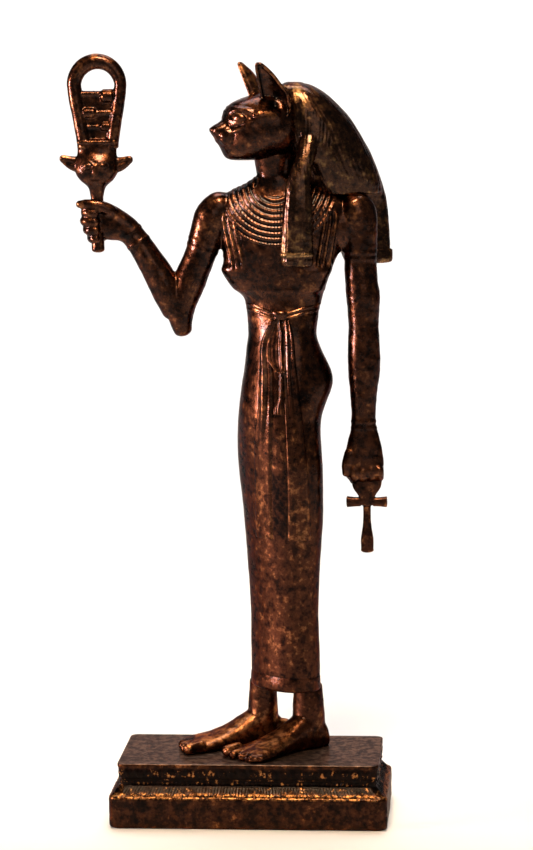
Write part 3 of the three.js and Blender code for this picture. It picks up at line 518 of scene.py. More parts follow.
def cold_cast_bronze(name, stains, copper, rub_level, wear_share, stain_share=0.5, cornice=None):
    """Stained resin bronze: dark stain, brown and copper in soft mottled patches. The patches are a noise of
    3.2 mm broken up by one of 1.3 mm, raised by wear and painted highlights, lowered by painted shade, and
    copper begins at rub_level. Blots of stain are larger with a larger stain_share. The lacquer, a clear
    coat, is thinner near the foot."""
    material = bpy.data.materials.new(name)
    material.use_nodes = True
    tree = material.node_tree
    shader = tree.nodes["Principled BSDF"]
    place = add(tree, "ShaderNodeTexCoord").outputs["Object"]
    # The wear attribute: convexity for real rub, with painted shade and painted highlights added in places.
    wear_and_painted_light = add(tree, "ShaderNodeAttribute", {"attribute_name": "wear_and_painted_light"}).outputs["Fac"]
    height = add(tree, "ShaderNodeSeparateXYZ", Vector=place).outputs["Z"]
    mottle = noise(tree, place, 3.2, 5.0, 0.62)
    specks = noise(tree, place, 1.3, 4.0, 0.7, offset=(0.3, 0.1, 0.2))
    clouds = noise(tree, place, 17.0, 3.0, 0.5, offset=(0.7, 0.5, 0.1))
    low_down = ramped(tree, height, 210 * MM, 60 * MM)
    rub = combined(tree, specks, 0.4, mottle)
    rub = combined(tree, wear_and_painted_light, wear_share, rub)
    rub = combined(tree, clouds, 0.3, rub)
    brown = ramped(tree, rub, rub_level - 0.34, rub_level)
    # Copper share: real rub, raised further by the painted highlights in the wear attribute.
    rub_and_painted_highlight = ramped(tree, rub, rub_level - 0.02, rub_level + 0.26)
    blots = noise(tree, place, 3.4, 3.0, 0.6, offset=(0.1, 0.9, 0.4))
    blots = ramped(tree, blots, 1.0 - stain_share, 1.14 - stain_share)
    recess = ramped(tree, wear_and_painted_light, 0.40, 0.10)
    colour = mixed(tree, brown, stains[0], stains[1])
    colour = mixed(tree, rub_and_painted_highlight, colour, copper)
    colour = mixed(tree, combined(tree, blots, 0.7, 0.0), colour, stains[0])
    colour = mixed(tree, recess, colour, RECESS_STAIN)
    rough = combined(tree, low_down, 0.1, ramped(tree, mottle, 0.3, 0.7, to=(0.22, 0.34)))
    if cornice is not None:
        colour, rough = aged_cornice(tree, cornice, colour, rough, height, wear_and_painted_light, specks, mottle)
    grain = noise(tree, place, 1.1, 3.0, 0.65)
    bump = add(tree, "ShaderNodeBump", {"Strength": 0.55, "Distance": 0.16 * MM}, Height=grain)
    tree.links.new(colour, shader.inputs["Base Color"])
    tree.links.new(rough, shader.inputs["Roughness"])
    tree.links.new(bump.outputs[0], shader.inputs["Normal"])
    tree.links.new(bump.outputs[0], shader.inputs["Coat Normal"])
    tree.links.new(combined(tree, low_down, -0.16, 0.25), shader.inputs["Coat Weight"])
    shader.inputs["Metallic"].default_value = 1.0
    shader.inputs["Specular Tint"].default_value = linear(LACQUER_TINT)
    shader.inputs["Coat Roughness"].default_value = 0.09
    print(f"{name}: {len(tree.nodes)} nodes")
    return material


FIGURE_SLOT, PLINTH_SLOT = "figure_bronze_finish", "plinth_bronze_finish"
SLAB_HEIGHT, LIP_BOTTOM = 13.0, SOLES - 1.75
bronze = cold_cast_bronze("cold_cast_bronze_skin", ("#120a07", "#4a2919"), "#a2673f",
                          rub_level=1.12, wear_share=0.4)
bronze_hair = cold_cast_bronze("cold_cast_bronze_hair", ("#120b08", "#4a2f20"), "#987046",
                               rub_level=1.15, wear_share=0.5)
bronze_plinth = cold_cast_bronze("cold_cast_bronze_plinth", ("#0b0604", "#402313"), "#985c34",
                                 rub_level=1.16, wear_share=0.4, stain_share=0.56,
                                 cornice=(SLAB_HEIGHT * MM, LIP_BOTTOM * MM))

# %% [markdown]
# ## The sheath dress
#
# The dress is a tight tube of cloth from the waist to the ankles. It is the standing form of the torso,
# taken at 205 heights and 250 angles. Its relief is small: a hem with a stitched line above it, and the
# faint wobble of the casting. A subdivision cage would be lighter, but it couldn't hold the measured outline.

# %% The dress, from hem to girdle
HEM_FOOT, HEM_TOP, DRESS_TOP = 24.3, 29.4, 173.5


def dress_lift(points, height):
    """A hem of double cloth stands a little proud below its stitched line, its foot is rounded, and the cast
    wobbles."""
    hem = 0.1 * smooth_step(HEM_TOP + 0.5, HEM_TOP, height) - 0.06 * bell(height - HEM_TOP - 0.7, 0.35)
    rounded_foot = -0.35 * smooth_step(HEM_FOOT + 0.5, HEM_FOOT, height)
    return hem + rounded_foot + 0.5 * cast_wobble(points)


def dress_painted_shade(points):
    """Painted shade on the outer side of the right hip, and mottled painted shade in the strip of skirt
    between both ends of the sash.
    """
    x, y, height = points.T
    # painted shade in the strip of skirt between the two sash ends
    strip = smooth_step(9.4, 10.2, x) * smooth_step(16.4, 15.6, x) * (y < 4)
    strip *= smooth_step(84, 88, height) * smooth_step(124, 104, height)
    mottled = 0.22 + 0.1 * np.sin(1.3 * height) * np.sin(1.9 * x + 0.6 * height)
    # painted shade on the outer side of the right hip
    hip = 0.3 * bell(x + 0.5, 4.5) * bell(height - 160, 16)
    return strip * mottled + hip


angles = np.linspace(0, 360, 250, endpoint=False)[None, :]
hem_heights = [[HEM_FOOT, HEM_FOOT + 0.1, HEM_FOOT + 0.3], np.linspace(25, 31, 22)]
heights = np.concatenate([*hem_heights, np.linspace(31.7, DRESS_TOP, 180)])[:, None]
lift = dress_lift(torso.place(angles, heights), heights)
dress_skin = shell(torso.lifted(angles, heights, lift))
piece("figure_dress", dress_skin, FIGURE_SLOT, bronze, stain_and_painted_light=dress_painted_shade(dress_skin[0]))

# %% [markdown]
# ## Torso, arms and hands
#
# Chest, breasts, neck, both arms and both fists are one skin. Each is an oval along a path, and the fusing
# rounds shoulders, elbows and knuckles. An upright limb is measured across in x, a level one in height. The
# right fist closes round the sistrum's handle, the left one round the loop of the ankh.

# %% Trunk, neck and the raised right arm
UPRIGHT, LEVEL = [1, 0, 0], [0, 0, 1]
around = np.linspace(0, 360, 200, endpoint=False)[None, :]
up_the_trunk = np.linspace(167, 226.2, 120)[:, None]
trunk = [
    shell(torso.place(around, up_the_trunk)),
    limb([[12.2, 6, 216, 7.2, 6.8], [11.3, 5.8, 226, 6.9, 6.4], [11.0, 5.4, 237, 8.4, 7.5]], UPRIGHT,
         roundness=(0, 0.3)),
    egg((36.5, 5.6, 207.2), (8.2, 6.6, 10.2)),
    egg((-8.4, 5.4, 210.4), (7.2, 6.2, 7.6)),
]
right_arm = [
    limb([[-6.6, 5.2, 219.4, 4.6, 5.4], [-12.1, 5.2, 212.0, 7.2, 6.8], [-14.7, 5, 205.4, 7.1, 6.6],
          [-17.7, 4.8, 197, 6.1, 6.0], [-21.8, 4.4, 187, 6.3, 5.8], [-25.4, 4, 178, 6.0, 5.5],
          [-25.9, 3.7, 170.8, 4.6, 4.8], [-24.5, 3.6, 164.4, 3.0, 3.2]], UPRIGHT, roundness=(1, 0.8)),
    limb([[-26.6, 3.7, 171.8, 5.0, 4.8], [-29.9, 3.3, 179.5, 5.8, 5.5], [-33.4, 3, 187.0, 5.8, 5.4],
          [-38.5, 2.5, 195.8, 5.2, 5], [-42.8, 2.2, 202.4, 4.7, 4.4], [-47.8, 2, 207.4, 4.7, 4.2]],
         UPRIGHT, roundness=(0.6, 0.3)),
    limb([[-42.6, 2.2, 202.4, 4.3, 4], [-46, 2, 206.1, 5.0, 4.3], [-51, 1.4, 208.3, 6.5, 4.3],
          [-55, 1.2, 209.5, 7, 4], [-58.6, 2, 209.4, 6.4, 3.6]], LEVEL, roundness=(0.3, 1),
         squareness=2.4),
    limb([[-50, -0.6, 212.5, 2.8, 2.6], [-55.5, -2.6, 215.6, 2.3, 2.1], [-61, -2.6, 216.4, 2.1, 1.9],
          [-65.4, -2.2, 216.4, 1.3, 1.3]], LEVEL),
]
for i, reach in enumerate((-61.6, -63.2, -64.2, -63.8)):
    at = 203.2 + 3.35 * i
    right_arm.append(limb([[-54, 4.4, at, 1.9, 1.9], [reach + 3.4, 4.6, at, 1.9, 1.9],
                           [reach + 1.8, 1, at, 1.9, 1.9], [reach + 3, -2.9, at - 0.2, 1.9, 1.8],
                           [-56, -3.7, at - 0.3, 1.6, 1.5]], LEVEL, rows=40, sides=24))
print(len(trunk), "shells of the trunk and", len(right_arm), "of the right arm")

# %% The hanging left arm
left_arm = [
    limb([[40, 5.5, 219.4, 4.6, 5.2], [42.8, 5.5, 212.5, 7.4, 7], [43.8, 5.5, 204, 7, 6.6],
          [44.1, 5.5, 194.3, 6.4, 6.1], [44.4, 5.3, 186, 6.4, 6], [45.1, 5.2, 178.5, 6.6, 6],
          [45.1, 5, 169.4, 5.9, 5.6], [45.3, 4.6, 160, 6.3, 5.6], [45.2, 4.2, 150.6, 6.3, 5.4],
          [45, 3.6, 141, 5.2, 4.7], [45, 3.3, 131.7, 4.8, 4.1], [45.2, 3.2, 124, 5.2, 3.9]],
         UPRIGHT, rows=120, roundness=(1, 0.2)),
    limb([[45.2, 3.2, 130, 4.6, 3.7], [45.1, 3.2, 119.5, 7.2, 4], [44.9, 3.4, 113, 7.9, 4.2],
          [45.8, 3.8, 108.6, 6.6, 4]], UPRIGHT, roundness=(0, 0.5), squareness=2.4),
    limb([[40.6, 1.8, 121, 2.6, 2.5], [38.6, 1, 114.5, 2.1, 2.1], [37.7, 1.2, 109.2, 1.2, 1.4]], UPRIGHT),
]
for i, x in enumerate((41.2, 44.5, 47.8, 50.9)):
    low = 107.8 + 0.35 * i
    left_arm.append(limb([[x, 0.6, 114, 1.9, 1.8], [x, 0.8, low + 2, 1.9, 1.8], [x, 3.6, low, 1.8, 1.8],
                          [x, 7.4, low + 1.4, 1.8, 1.7], [x, 8, low + 5.5, 1.5, 1.5]], UPRIGHT,
                         rows=40, sides=24))
body_skin = fused("trunk_and_arms", trunk + right_arm + left_arm, voxel=0.53, easing=5)

# %% [markdown]
# Bracelets, armlets, the seam under the breasts and the pleated straps above them are low relief on that
# skin. A band is a bell in the distance along the arm, and it counts only within the arm's own radius.

# %% Straps and bracelets
def band(points, middle, along, radius, width=0.8, height=0.26):
    """A raised ring: a bell in the distance along the limb, inside a given radius of its middle."""
    along = np.array(along, float) / np.linalg.norm(along)
    away = points - np.array(middle, float)
    distance = np.linalg.norm(away - (away @ along)[:, None] * along, axis=1)
    return height * bell(away @ along, width) * (distance < radius)


STRAP_HALF_WIDTH, PLEAT = 3.8, 2.1


def strap(points, normals, foot_x, top_x):
    """A pleated strap on the chest that ends above the breast: a thin flat band with cosine pleats across it,
    whose middle goes from foot_x at 194 mm to top_x at 209 mm."""
    height = points[:, 2]
    x = points[:, 0] - curve_through([194, 209], [foot_x, top_x])(height)
    inside = smooth_step(STRAP_HALF_WIDTH, STRAP_HALF_WIDTH - 0.6, np.abs(x))
    inside *= smooth_step(0.1, -0.2, normals[:, 1])
    inside *= smooth_step(190.6, 193.4, height) * smooth_step(214, 211, height)
    return inside * (0.35 + 0.5 * np.cos(2 * np.pi * x / PLEAT))


points = body_skin[0]
normals = normals_of(points, body_skin[1])
jewellery = [
    band(points, (-44.2, 2.1, 205.3), (-0.6, 0, 0.8), 8),
    band(points, (-41.7, 2.3, 201.2), (-0.53, 0, 0.85), 7.5),
    band(points, (-16.2, 4.9, 201.0), (-0.34, 0, -0.94), 8.5, 0.7, 0.2),
    band(points, (-17.0, 4.9, 198.4), (-0.36, 0, -0.93), 8.5, 0.7, 0.2),
    band(points, (44.1, 5.5, 194.4), (0.04, 0, 1), 8.5, 0.6, 0.2),
    band(points, (44.1, 5.5, 196.8), (0.04, 0, 1), 8.5, 0.6, 0.2),
    band(points, (45.1, 3.2, 128.6), (0, 0, 1), 7, 0.6, 0.2),
    band(points, (45.1, 3.2, 131.0), (0, 0, 1), 7, 0.6, 0.2),
]
straps = strap(points, normals, -2.9, -6.2) + strap(points, normals, 30.2, 33.0)
x, height = points[:, 0], points[:, 2]
seam = 0.15 * bell(height - 182.6, 0.7) * (x > -9) * (x < 33)
relief = sum(jewellery) + straps + seam + cast_wobble(points)
# painted shade at the foot of the neck, under the head and wig
neck_painted_shade = 0.3 * bell(height - 223, 5) * bell(x - 12, 16)
# The strap pleats take more copper: partly rub on the raised pleats, partly a painted highlight where the
# left lamp catches them.
piece("figure_torso_and_arms", raised(body_skin, relief), FIGURE_SLOT, bronze,
      softness=3, stain_and_painted_light=neck_painted_shade - 0.35 * straps)

# %% [markdown]
# ## The broad collar
#
# The collar is nine narrow rows laid over chest, shoulders and back, each a thin cord with small beads on
# it. It is one shell round the neck, and seen from the front its rows are circles round the throat. Each row
# is a bell in the distance from the throat, and the beads are a cosine in the angle. Small spheres would be
# real beads, but a cast has them in relief.

# %% Collar of beads
NECK_MIDDLE, COLLAR_RADIUS, LEAST_DROP, ROW_PITCH, BURIED = (12.0, 224.0), 24.4, 7, 2.12, 2.0


def collar_lift(points, angle, down, beads=130):
    """Each row is a cord with fine beads on it and a groove beside it, one pitch from the next in distance
    from the middle of the neck. Both edges dip under the skin."""
    reach = np.hypot(points[..., 0] - NECK_MIDDLE[0], points[..., 2] - NECK_MIDDLE[1])
    row = (reach - COLLAR_RADIUS) / ROW_PITCH
    share = row - np.floor(row)
    cord = 0.42 * bell(share - 0.62, 0.26)
    beading = 0.1 * np.abs(np.cos(np.radians(angle) * beads / 2)) * bell(share - 0.5, 0.3)
    edges = smooth_step(0, 0.012, down) * smooth_step(1, 0.985, down)
    return (0.3 + cord + beading + BURIED) * edges - BURIED


angles = np.linspace(0, 360, 620, endpoint=False)[None, :]
down = np.concatenate([[0, 0.006, 0.012], np.linspace(0.025, 0.975, 78), [0.985, 0.993, 1]])[:, None]
round_neck = np.abs(np.sin(np.radians(angles)))
at_side = smooth_step(0.72, 0.95, round_neck)
under_shoulder = smooth_step(0.80, 0.93, round_neck) * smooth_step(0.35, 0.8, down)
guess_of_edge = 200.2 + 16.6 * round_neck**2.9
from_middle = torso.place(angles, guess_of_edge)[..., 0] - NECK_MIDDLE[0]
outer_edge = NECK_MIDDLE[1] - np.sqrt(np.maximum(COLLAR_RADIUS**2 - from_middle**2, LEAST_DROP**2))
inner_edge = 219.4 + 6.6 * smooth_step(0.3, 0.78, round_neck)
heights = inner_edge + (outer_edge - inner_edge) * down
lift = collar_lift(torso.place(angles, heights), angles, down) * (1 - 0.65 * at_side) - 1.3 * under_shoulder
piece("figure_collar", shell(torso.lifted(angles, heights, lift)), FIGURE_SLOT, bronze,
      softness=1, stain_and_painted_light=0.12)

# %% [markdown]
# ## Girdle and sash
#
# A narrow girdle is tied at the waist, and from its knot two pleated ends hang over the thighs with a short
# gathered fold between them. Each is a band of relief over the dress: its edges are curves read off the
# front view, and its height above the cloth is a function of how far across the band a point lies.

# %% Bands of cloth over the dress
def cloth_band(heights, left_edge, right_edge, lift, columns=40):
    """A band over the torso between two edges. Its back is buried, so that it closes under the dress."""
    across = np.linspace(0, 1, columns)[None, :]
    height = np.asarray(heights, float)[:, None]
    left, right = left_edge(height), right_edge(height)
    x = left + (right - left) * across
    front = torso.lifted(torso.angle_at(height, x), height, lift(across, height))
    ends = np.concatenate([right, left], axis=1)
    back = torso.lifted(torso.angle_at(height, ends), height, np.full(ends.shape, -1.2))
    return shell(np.concatenate([front, back], axis=1))


def edge(*pairs):
    """An edge of cloth: its x at each height, smoothed."""
    return curve_through([p[0] for p in pairs], [p[1] for p in pairs])


KNOT_X, SASH_FOOT, SASH_TOP, FOLDS = 13.8, 85.7, 171.5, 2.5


def folds(outer_fold=0):
    """Low cosine folds across a thin band that is rounded at its sides. Low down it lies flat, and the end
    has a hem. One larger rounded fold may run down it, from the knot to the thigh."""
    def lift(across, height):
        rounded = 0.62 * (1 - np.abs(2 * across - 1) ** 8)
        depth = 0.03 + 0.16 * smooth_step(110, 144, height)
        hem = 0.14 * bell(height - SASH_FOOT - 1.5, 0.8)
        roll = outer_fold * bell(across - 0.4, 0.27) * smooth_step(124, 146, height)
        return rounded + depth * np.cos(2 * np.pi * FOLDS * across) + hem + roll
    return lift


heights = np.concatenate([[SASH_FOOT, SASH_FOOT + 0.3], np.linspace(SASH_FOOT + 0.7, SASH_TOP, 150)])
right_end = cloth_band(
    heights,
    edge([SASH_FOOT, 2.5], [106.5, 2.6], [124.8, 2.9], [136, 4.4], [144.5, 4.9], [156, 5.4],
         [160.5, 5.5], [165.2, 6.8], [SASH_TOP, 10]),
    edge([SASH_FOOT, 9.8], [108, 9.7], [120, 10.2], [135, 10.9], [150, 11], [160, 10], [SASH_TOP, 12.4]),
    folds(outer_fold=1.25))
left_end = cloth_band(
    heights,
    edge([SASH_FOOT, 15.8], [108, 16], [135, 15.3], [150, 14.6], [SASH_TOP, 14.6]),
    edge([SASH_FOOT, 24.6], [108, 24.1], [129, 22.5], [148, 20.5], [154.5, 19.7], [164.5, 18.8],
         [SASH_TOP, 17.2]),
    folds())
print("each sash end has", len(right_end[1]), "quads")


# %% Gathered fold, tassel, girdle and knot
def leaf_lift(across, height):
    """A hollow fold: both rims stand proud of a gathered middle."""
    rims = 0.55 * bell(across - 0.06, 0.12) + 0.75 * bell(across - 0.94, 0.13)
    return 0.4 + rims + 0.04 * np.cos(6 * np.pi * across)


def tassel_lift(across, height):
    """A bundle of threads that spreads at its foot."""
    return 1.2 - 0.7 * np.abs(2 * across - 1) ** 3 + 0.07 * np.cos(8 * np.pi * across)


leaf = cloth_band(
    np.linspace(151.2, 171.4, 60),
    edge([151.2, 12], [152.2, 11.4], [155.9, 8.9], [159.9, 8.6], [164.5, 9.2], [169.2, 11], [171.4, 12]),
    edge([151.2, 15.4], [152.8, 14.6], [157.8, 14.5], [162.5, 14.2], [166.2, 14.3], [169.5, 13.6],
         [171.4, 13.6]),
    leaf_lift, columns=32)
tassel = cloth_band(
    np.linspace(135.2, 151.6, 50),
    edge([135.2, 10.9], [137.7, 11.1], [141.8, 12.7], [148, 12.8], [150.2, 12.9], [151.6, 11.6]),
    edge([135.2, 15.2], [137.7, 14.9], [141.8, 14.7], [148, 14.9], [150.2, 14.9], [151.6, 16.2]),
    tassel_lift, columns=24)
angles = np.linspace(0, 360, 300, endpoint=False)[None, :]
across_girdle = np.linspace(-1.9, 1.9, 26)[:, None]
girdle_x = torso.place(angles, np.full_like(angles, 174.5))[..., 0]
on_front = smooth_step(100, 80, np.abs(turned(angles, 0)))
girdle_heights = 176.1 - 3.3 * bell(girdle_x - KNOT_X, 9) * on_front + across_girdle
cords = 0.42 * bell(across_girdle - 0.95, 0.45) + 0.42 * bell(across_girdle + 0.95, 0.45)
cords = cords * (0.25 + 0.75 * bell(girdle_x - KNOT_X, 10) * on_front)
girdle_lift = (0.06 + cords + 0.8) * smooth_step(1.9, 1.6, np.abs(across_girdle)) - 0.8
girdle = shell(torso.lifted(angles, girdle_heights, np.broadcast_to(girdle_lift, girdle_heights.shape)))
knot = fused("knot", [
    egg((KNOT_X, -3.3, 172.8), (2.9, 1.9, 2.0)),
    limb([[10.2, -3.0, 174.3, 1.1, 1.0], [KNOT_X, -4.2, 173.6, 1.5, 1.3], [17.2, -2.9, 174.2, 1.1, 1.0]],
         LEVEL),
    limb([[12.4, -3.4, 172.8, 1.5, 1.3], [11.6, -3.6, 169.6, 1.4, 1.2]], UPRIGHT),
    limb([[15.0, -3.4, 172.8, 1.5, 1.3], [16.4, -3.4, 169.8, 1.5, 1.2]], UPRIGHT),
], voxel=0.3, easing=4)
sash_skin = gathered([right_end, left_end, leaf, tassel, girdle, knot])
x, height = sash_skin[0][:, 0], sash_skin[0][:, 2]
# Lighter lower ends of the sash, and a painted highlight down the outer fold of the right end.
rub_and_painted_highlight = 0.22 * smooth_step(124, 104, height) + 0.25 * bell(x - 5, 2) * smooth_step(126, 140, height)
piece("figure_girdle_and_sash", sash_skin, FIGURE_SLOT, bronze, stain_and_painted_light=-rub_and_painted_highlight)

# %% [markdown]
# ## The cat's head
#
# The skull is a row of squarish ovals carried ahead from the neck to the nose, in the head's own frame:
# ahead, left, and up. Ears are leaves with a cupped face. All are fused, and then the almond eyes, brows,
# mouth and nostrils are drawn into the skin with bells and ramps in the head's own coordinates.

# %% Skull, muzzle and ears
HEAD_DEGREES = 66
HEAD_TURN = np.radians(HEAD_DEGREES)
HEAD_PLACE = np.array([11.0, 6.0, 0.0])
AHEAD = np.array([-np.sin(HEAD_TURN), -np.cos(HEAD_TURN), 0])
LEFT = np.array([np.cos(HEAD_TURN), -np.sin(HEAD_TURN), 0])
EAR_FOOT, EAR_TIP, EYE_HEIGHT = 246, 269.8, 249.5


def in_head(ahead, left, height):
    """A point of the head's own frame: so far ahead of the neck, to its left, and above the soles."""
    up = np.array([0, 0, 1.0])
    ahead, left, height = (np.asarray(v, float)[..., None] for v in (ahead, left, height))
    return HEAD_PLACE + AHEAD * ahead + LEFT * left + up * height


def skull():
    """Ovals of squareness 2.3 from under to over the head, carried from the nape to the nose. Each row of the
    table is a place ahead, the lowest and highest height there, and half the width."""
    table = np.array([
        [-8, 238, 256, 9], [-2, 233.6, 258.6, 11.8], [5, 232.7, 258.4, 12.6], [10, 232.6, 257.2, 12.4],
        [14, 232.6, 255.9, 11.0], [17.2, 232.9, 254.4, 8.3], [18.8, 233.4, 252.7, 6.4],
        [19.7, 234.1, 250.7, 5.4], [20.4, 235.3, 249.0, 4.7], [21.2, 237.0, 248.1, 4.5],
        [22.7, 239.4, 247.2, 3.9], [24.4, 242.0, 246.3, 2.9], [26.0, 243.9, 245.2, 1.1],
    ])
    curves = curve_through(table[:, 0], table[:, 1:])
    ahead = np.concatenate([np.linspace(-8, 17, 40), np.linspace(17.4, 26.0, 44)])
    under, over, half = curves(ahead).T
    aside, up = oval(np.linspace(0, 360, 64, endpoint=False), 2.3)
    height = ((under + over) / 2)[:, None] + ((over - under) / 2)[:, None] * up
    return shell(in_head(np.broadcast_to(ahead[:, None], height.shape), half[:, None] * aside, height))


def ear(side, widening):
    """A leaf with a cupped face that looks ahead and outwards: its back is half an oval, and its face follows
    the back at a share of the depth. A thin limb along its edge makes the rounded rim. Each row of the table
    is a place ahead and to the side, a height, half the width and the thickness."""
    table = np.array([
        [2.4, 7.4, EAR_FOOT, 4.2, 3.2], [1.9, 8.0, 250, 5.4, 3.2], [1.7, 8.8, 254.5, 6.0, 3.2],
        [2.9, 9.3, 258.6, 5.4, 3.0], [4.8, 9.7, 262.2, 4.4, 2.7], [6.9, 10.1, 266.2, 3.1, 2.2],
        [8.6, 10.1, 268.8, 1.7, 1.6], [9.2, 10.1, EAR_TIP, 0.8, 1.0],
    ])
    curves = curve_through(table[:, 2], table[:, [0, 1, 3, 4]])
    height = np.linspace(EAR_FOOT, EAR_TIP, 70)
    ahead, left, half, thick = curves(height).T
    half = half + widening
    across = AHEAD * 0.77 - LEFT * 0.64 * side
    open_way = AHEAD * 0.64 + LEFT * 0.77 * side
    a = np.linspace(0, 2 * np.pi, 64, endpoint=False)
    hollow = curve_through([246, 254, 266, 271], [0.7, 0.75, 0.55, 0.2])(height)
    bowed = np.abs(np.sin(a))
    depth = np.where(np.sin(a) < 0, -bowed**0.6, -(bowed**1.3) * hollow[:, None])
    middle = in_head(ahead, side * left, height) + open_way * 1.2
    leaf = shell(middle[:, None] + across * half[:, None, None] * np.cos(a)[:, None]
                 + open_way * thick[:, None, None] * 1.15 * depth[..., None])
    on_rim = np.array([20, 34, 46, 56, 64, 68])
    out_to_rim = across * (half[on_rim] - 0.35)[:, None]
    backbone = middle[on_rim] - open_way * 0.3
    path = np.concatenate([backbone + out_to_rim, (backbone - out_to_rim)[::-1]])
    rim = limb(np.column_stack([path, np.full((len(path), 2), 0.62)]), open_way, rows=90, sides=16)
    return [leaf, rim]


pads = [egg(in_head(18.2, side * 3.0, 242.2), (3.5, 5.2, 4.6), HEAD_DEGREES) for side in (1, -1)]
head_skin = fused("head", [skull()] + ear(1, 0) + ear(-1, 0.3) + pads, voxel=0.3, easing=4)

# %% Eyes, brows, nose and mouth
def face_relief(points):
    """How far the skin moves out. The eye is a dome in a hollow with a raised rim, all ellipses in ahead and
    height. The temple is a level swelling from the eye to the ear, and mouth and nostrils are grooves."""
    away = points - HEAD_PLACE
    ahead, side, height = away @ AHEAD, np.abs(away @ LEFT), points[:, 2]
    on_side = smooth_step(1.6, 3.6, side)
    rim_height = height - EYE_HEIGHT - 0.05 * (ahead - 15.9)
    from_rim = np.hypot((ahead - 15.7) / 4.2, rim_height / np.where(rim_height > 0, 2.6, 2.2))
    upper = 0.45 + 0.55 * smooth_step(-1.2, 1.0, rim_height)
    rim = 0.42 * upper * bell(from_rim - 1, 0.22) - 0.5 * smooth_step(1.05, 0.5, from_rim)
    dome = 1 - ((ahead - 16.8) / 2.1) ** 2 - ((height - EYE_HEIGHT) / 1.75) ** 2
    ball = 1.35 * np.sqrt(np.clip(dome, 0, 1))
    corner = -0.3 * bell(rim_height, 0.35) * smooth_step(13.8, 13.2, ahead) * smooth_step(10.6, 11.6, ahead)
    brow = 0.35 * bell(height - 253.1 + 0.14 * (18 - ahead), 0.6)
    brow *= smooth_step(10.5, 13, ahead) * smooth_step(19, 17.8, ahead)
    temple = 1.15 * bell(height - 250.3, 2.5) * smooth_step(0.6, 3.0, ahead) * smooth_step(12.4, 9.6, ahead)
    below_eye = 0.3 * bell(height - 245.7 + 0.55 * (ahead - 15.6), 0.6) * bell(ahead - 17.4, 2.8)
    below_eye -= 0.4 * bell(height - 246.9 + 0.35 * (ahead - 15.6), 0.5) * bell(ahead - 18, 2.6)
    mouth_height = edge([18, 239.3], [20.3, 240.1], [22.3, 241.0], [24.1, 242.1])(ahead)
    mouth = -0.14 * bell(height - mouth_height, 0.4) * smooth_step(17.6, 20, ahead)
    nostril = -0.4 * bell(ahead - 24.7, 0.5) * bell(height - 244.3, 0.4) * bell(side - 1.7, 0.5)
    cleft = -0.25 * bell(side, 0.4) * smooth_step(244, 243, height) * smooth_step(21.5, 23, ahead)
    pit = -1.7 * bell(ahead - 2.8, 1.7) * bell(side - 11, 2.6) * bell(height - 254.4, 2.3)
    return on_side * (rim + ball + corner + brow + temple + below_eye + mouth) + nostril + cleft + pit


points = head_skin[0]
relief = face_relief(points) + 0.6 * cast_wobble(points)
ahead, side, height = (points - HEAD_PLACE) @ AHEAD, (points - HEAD_PLACE) @ LEFT, points[:, 2]
# painted shade in the pit of the near ear
ear_pit_painted_shade = 0.5 * bell(ahead - 3.6, 2.6) * bell(np.abs(side) - 10, 2.6) * bell(height - 255.2, 3.0)
# painted highlight on the face of the far ear, lit from above
far_ear_painted_highlight = 0.5 * smooth_step(252, 259, height) * smooth_step(-4, -6, side)
# painted highlight on the near temple, where the warm top light falls
temple_painted_highlight = 0.35 * bell(height - 250.4, 2) * bell(ahead - 7.5, 4.5) * (side > 0)
piece("figure_cat_head", raised(head_skin, relief), FIGURE_SLOT, bronze,
      stain_and_painted_light=ear_pit_painted_shade - far_ear_painted_highlight - temple_painted_highlight)

# %% [markdown]
# ## Headcloth of hair
#
# The heavy wig sweeps back from the ears to a squared tail, and two lappets fall over the shoulders. Cap,
# tail and lappets are standing forms turned with the head, and they are fused, because the hair flows from
# one into the other. The strands are worn nearly smooth, so they are a very low cosine. A particle system
# could grow hair, but cast hair is relief.

# %% Cap, tail and lappets
HAIR_TURN = HEAD_DEGREES - 90
TAIL_EDGE, BAND_HEIGHT = 33, 197.1


def standing_shell(table, rows, turn=0, columns=160):
    """The shell of a standing form that is turned alike all the way up, so that its rows leave the turn out.
    Its rings are closer together towards its top."""
    form = StandingForm(np.insert(np.array(table, float), 5, turn, axis=1))
    rise = np.sin(np.linspace(0, np.pi / 2, rows))
    heights = (form.low + (form.high - form.low) * rise)[:, None]
    return shell(form.place(np.linspace(0, 360, columns, endpoint=False)[None, :], heights))


cap = standing_shell([
    [219, 21, 51.8, 17.2, 15.2, 2.4], [224.75, 18, 50.8, 16.4, 16.6, 2.5], [230.75, 16, 48.8, 15.2, 17, 2.5],
    [236.75, 13.5, 46.2, 13.8, 16.8, 2.5], [242.75, 12, 43.1, 12.6, 16, 2.4],
    [248.75, 11, 39.4, 11.6, 14.8, 2.2], [253.75, 10.5, 35.2, 10.8, 13, 2.1],
    [257.75, 10.8, 30.8, 10, 10.6, 2], [260.5, 12.4, 26.2, 9.4, 7.4, 2], [262.1, 15.6, 21.4, 9.2, 3.2, 2],
], 90, HAIR_TURN)
tail = standing_shell([
    [192.5, 38.8, 55.0, 16, 4, 2.8], [199.5, 36, 54.8, 16.4, 4.6, 2.8], [207.25, 33, 54.4, 16.8, 5.2, 2.7],
    [215, 29.5, 53.6, 17.2, 6.8, 2.6], [222, 26.5, 52.0, 17, 9.4, 2.5], [230, 23, 49, 15.6, 12, 2.4],
], 60, HAIR_TURN)
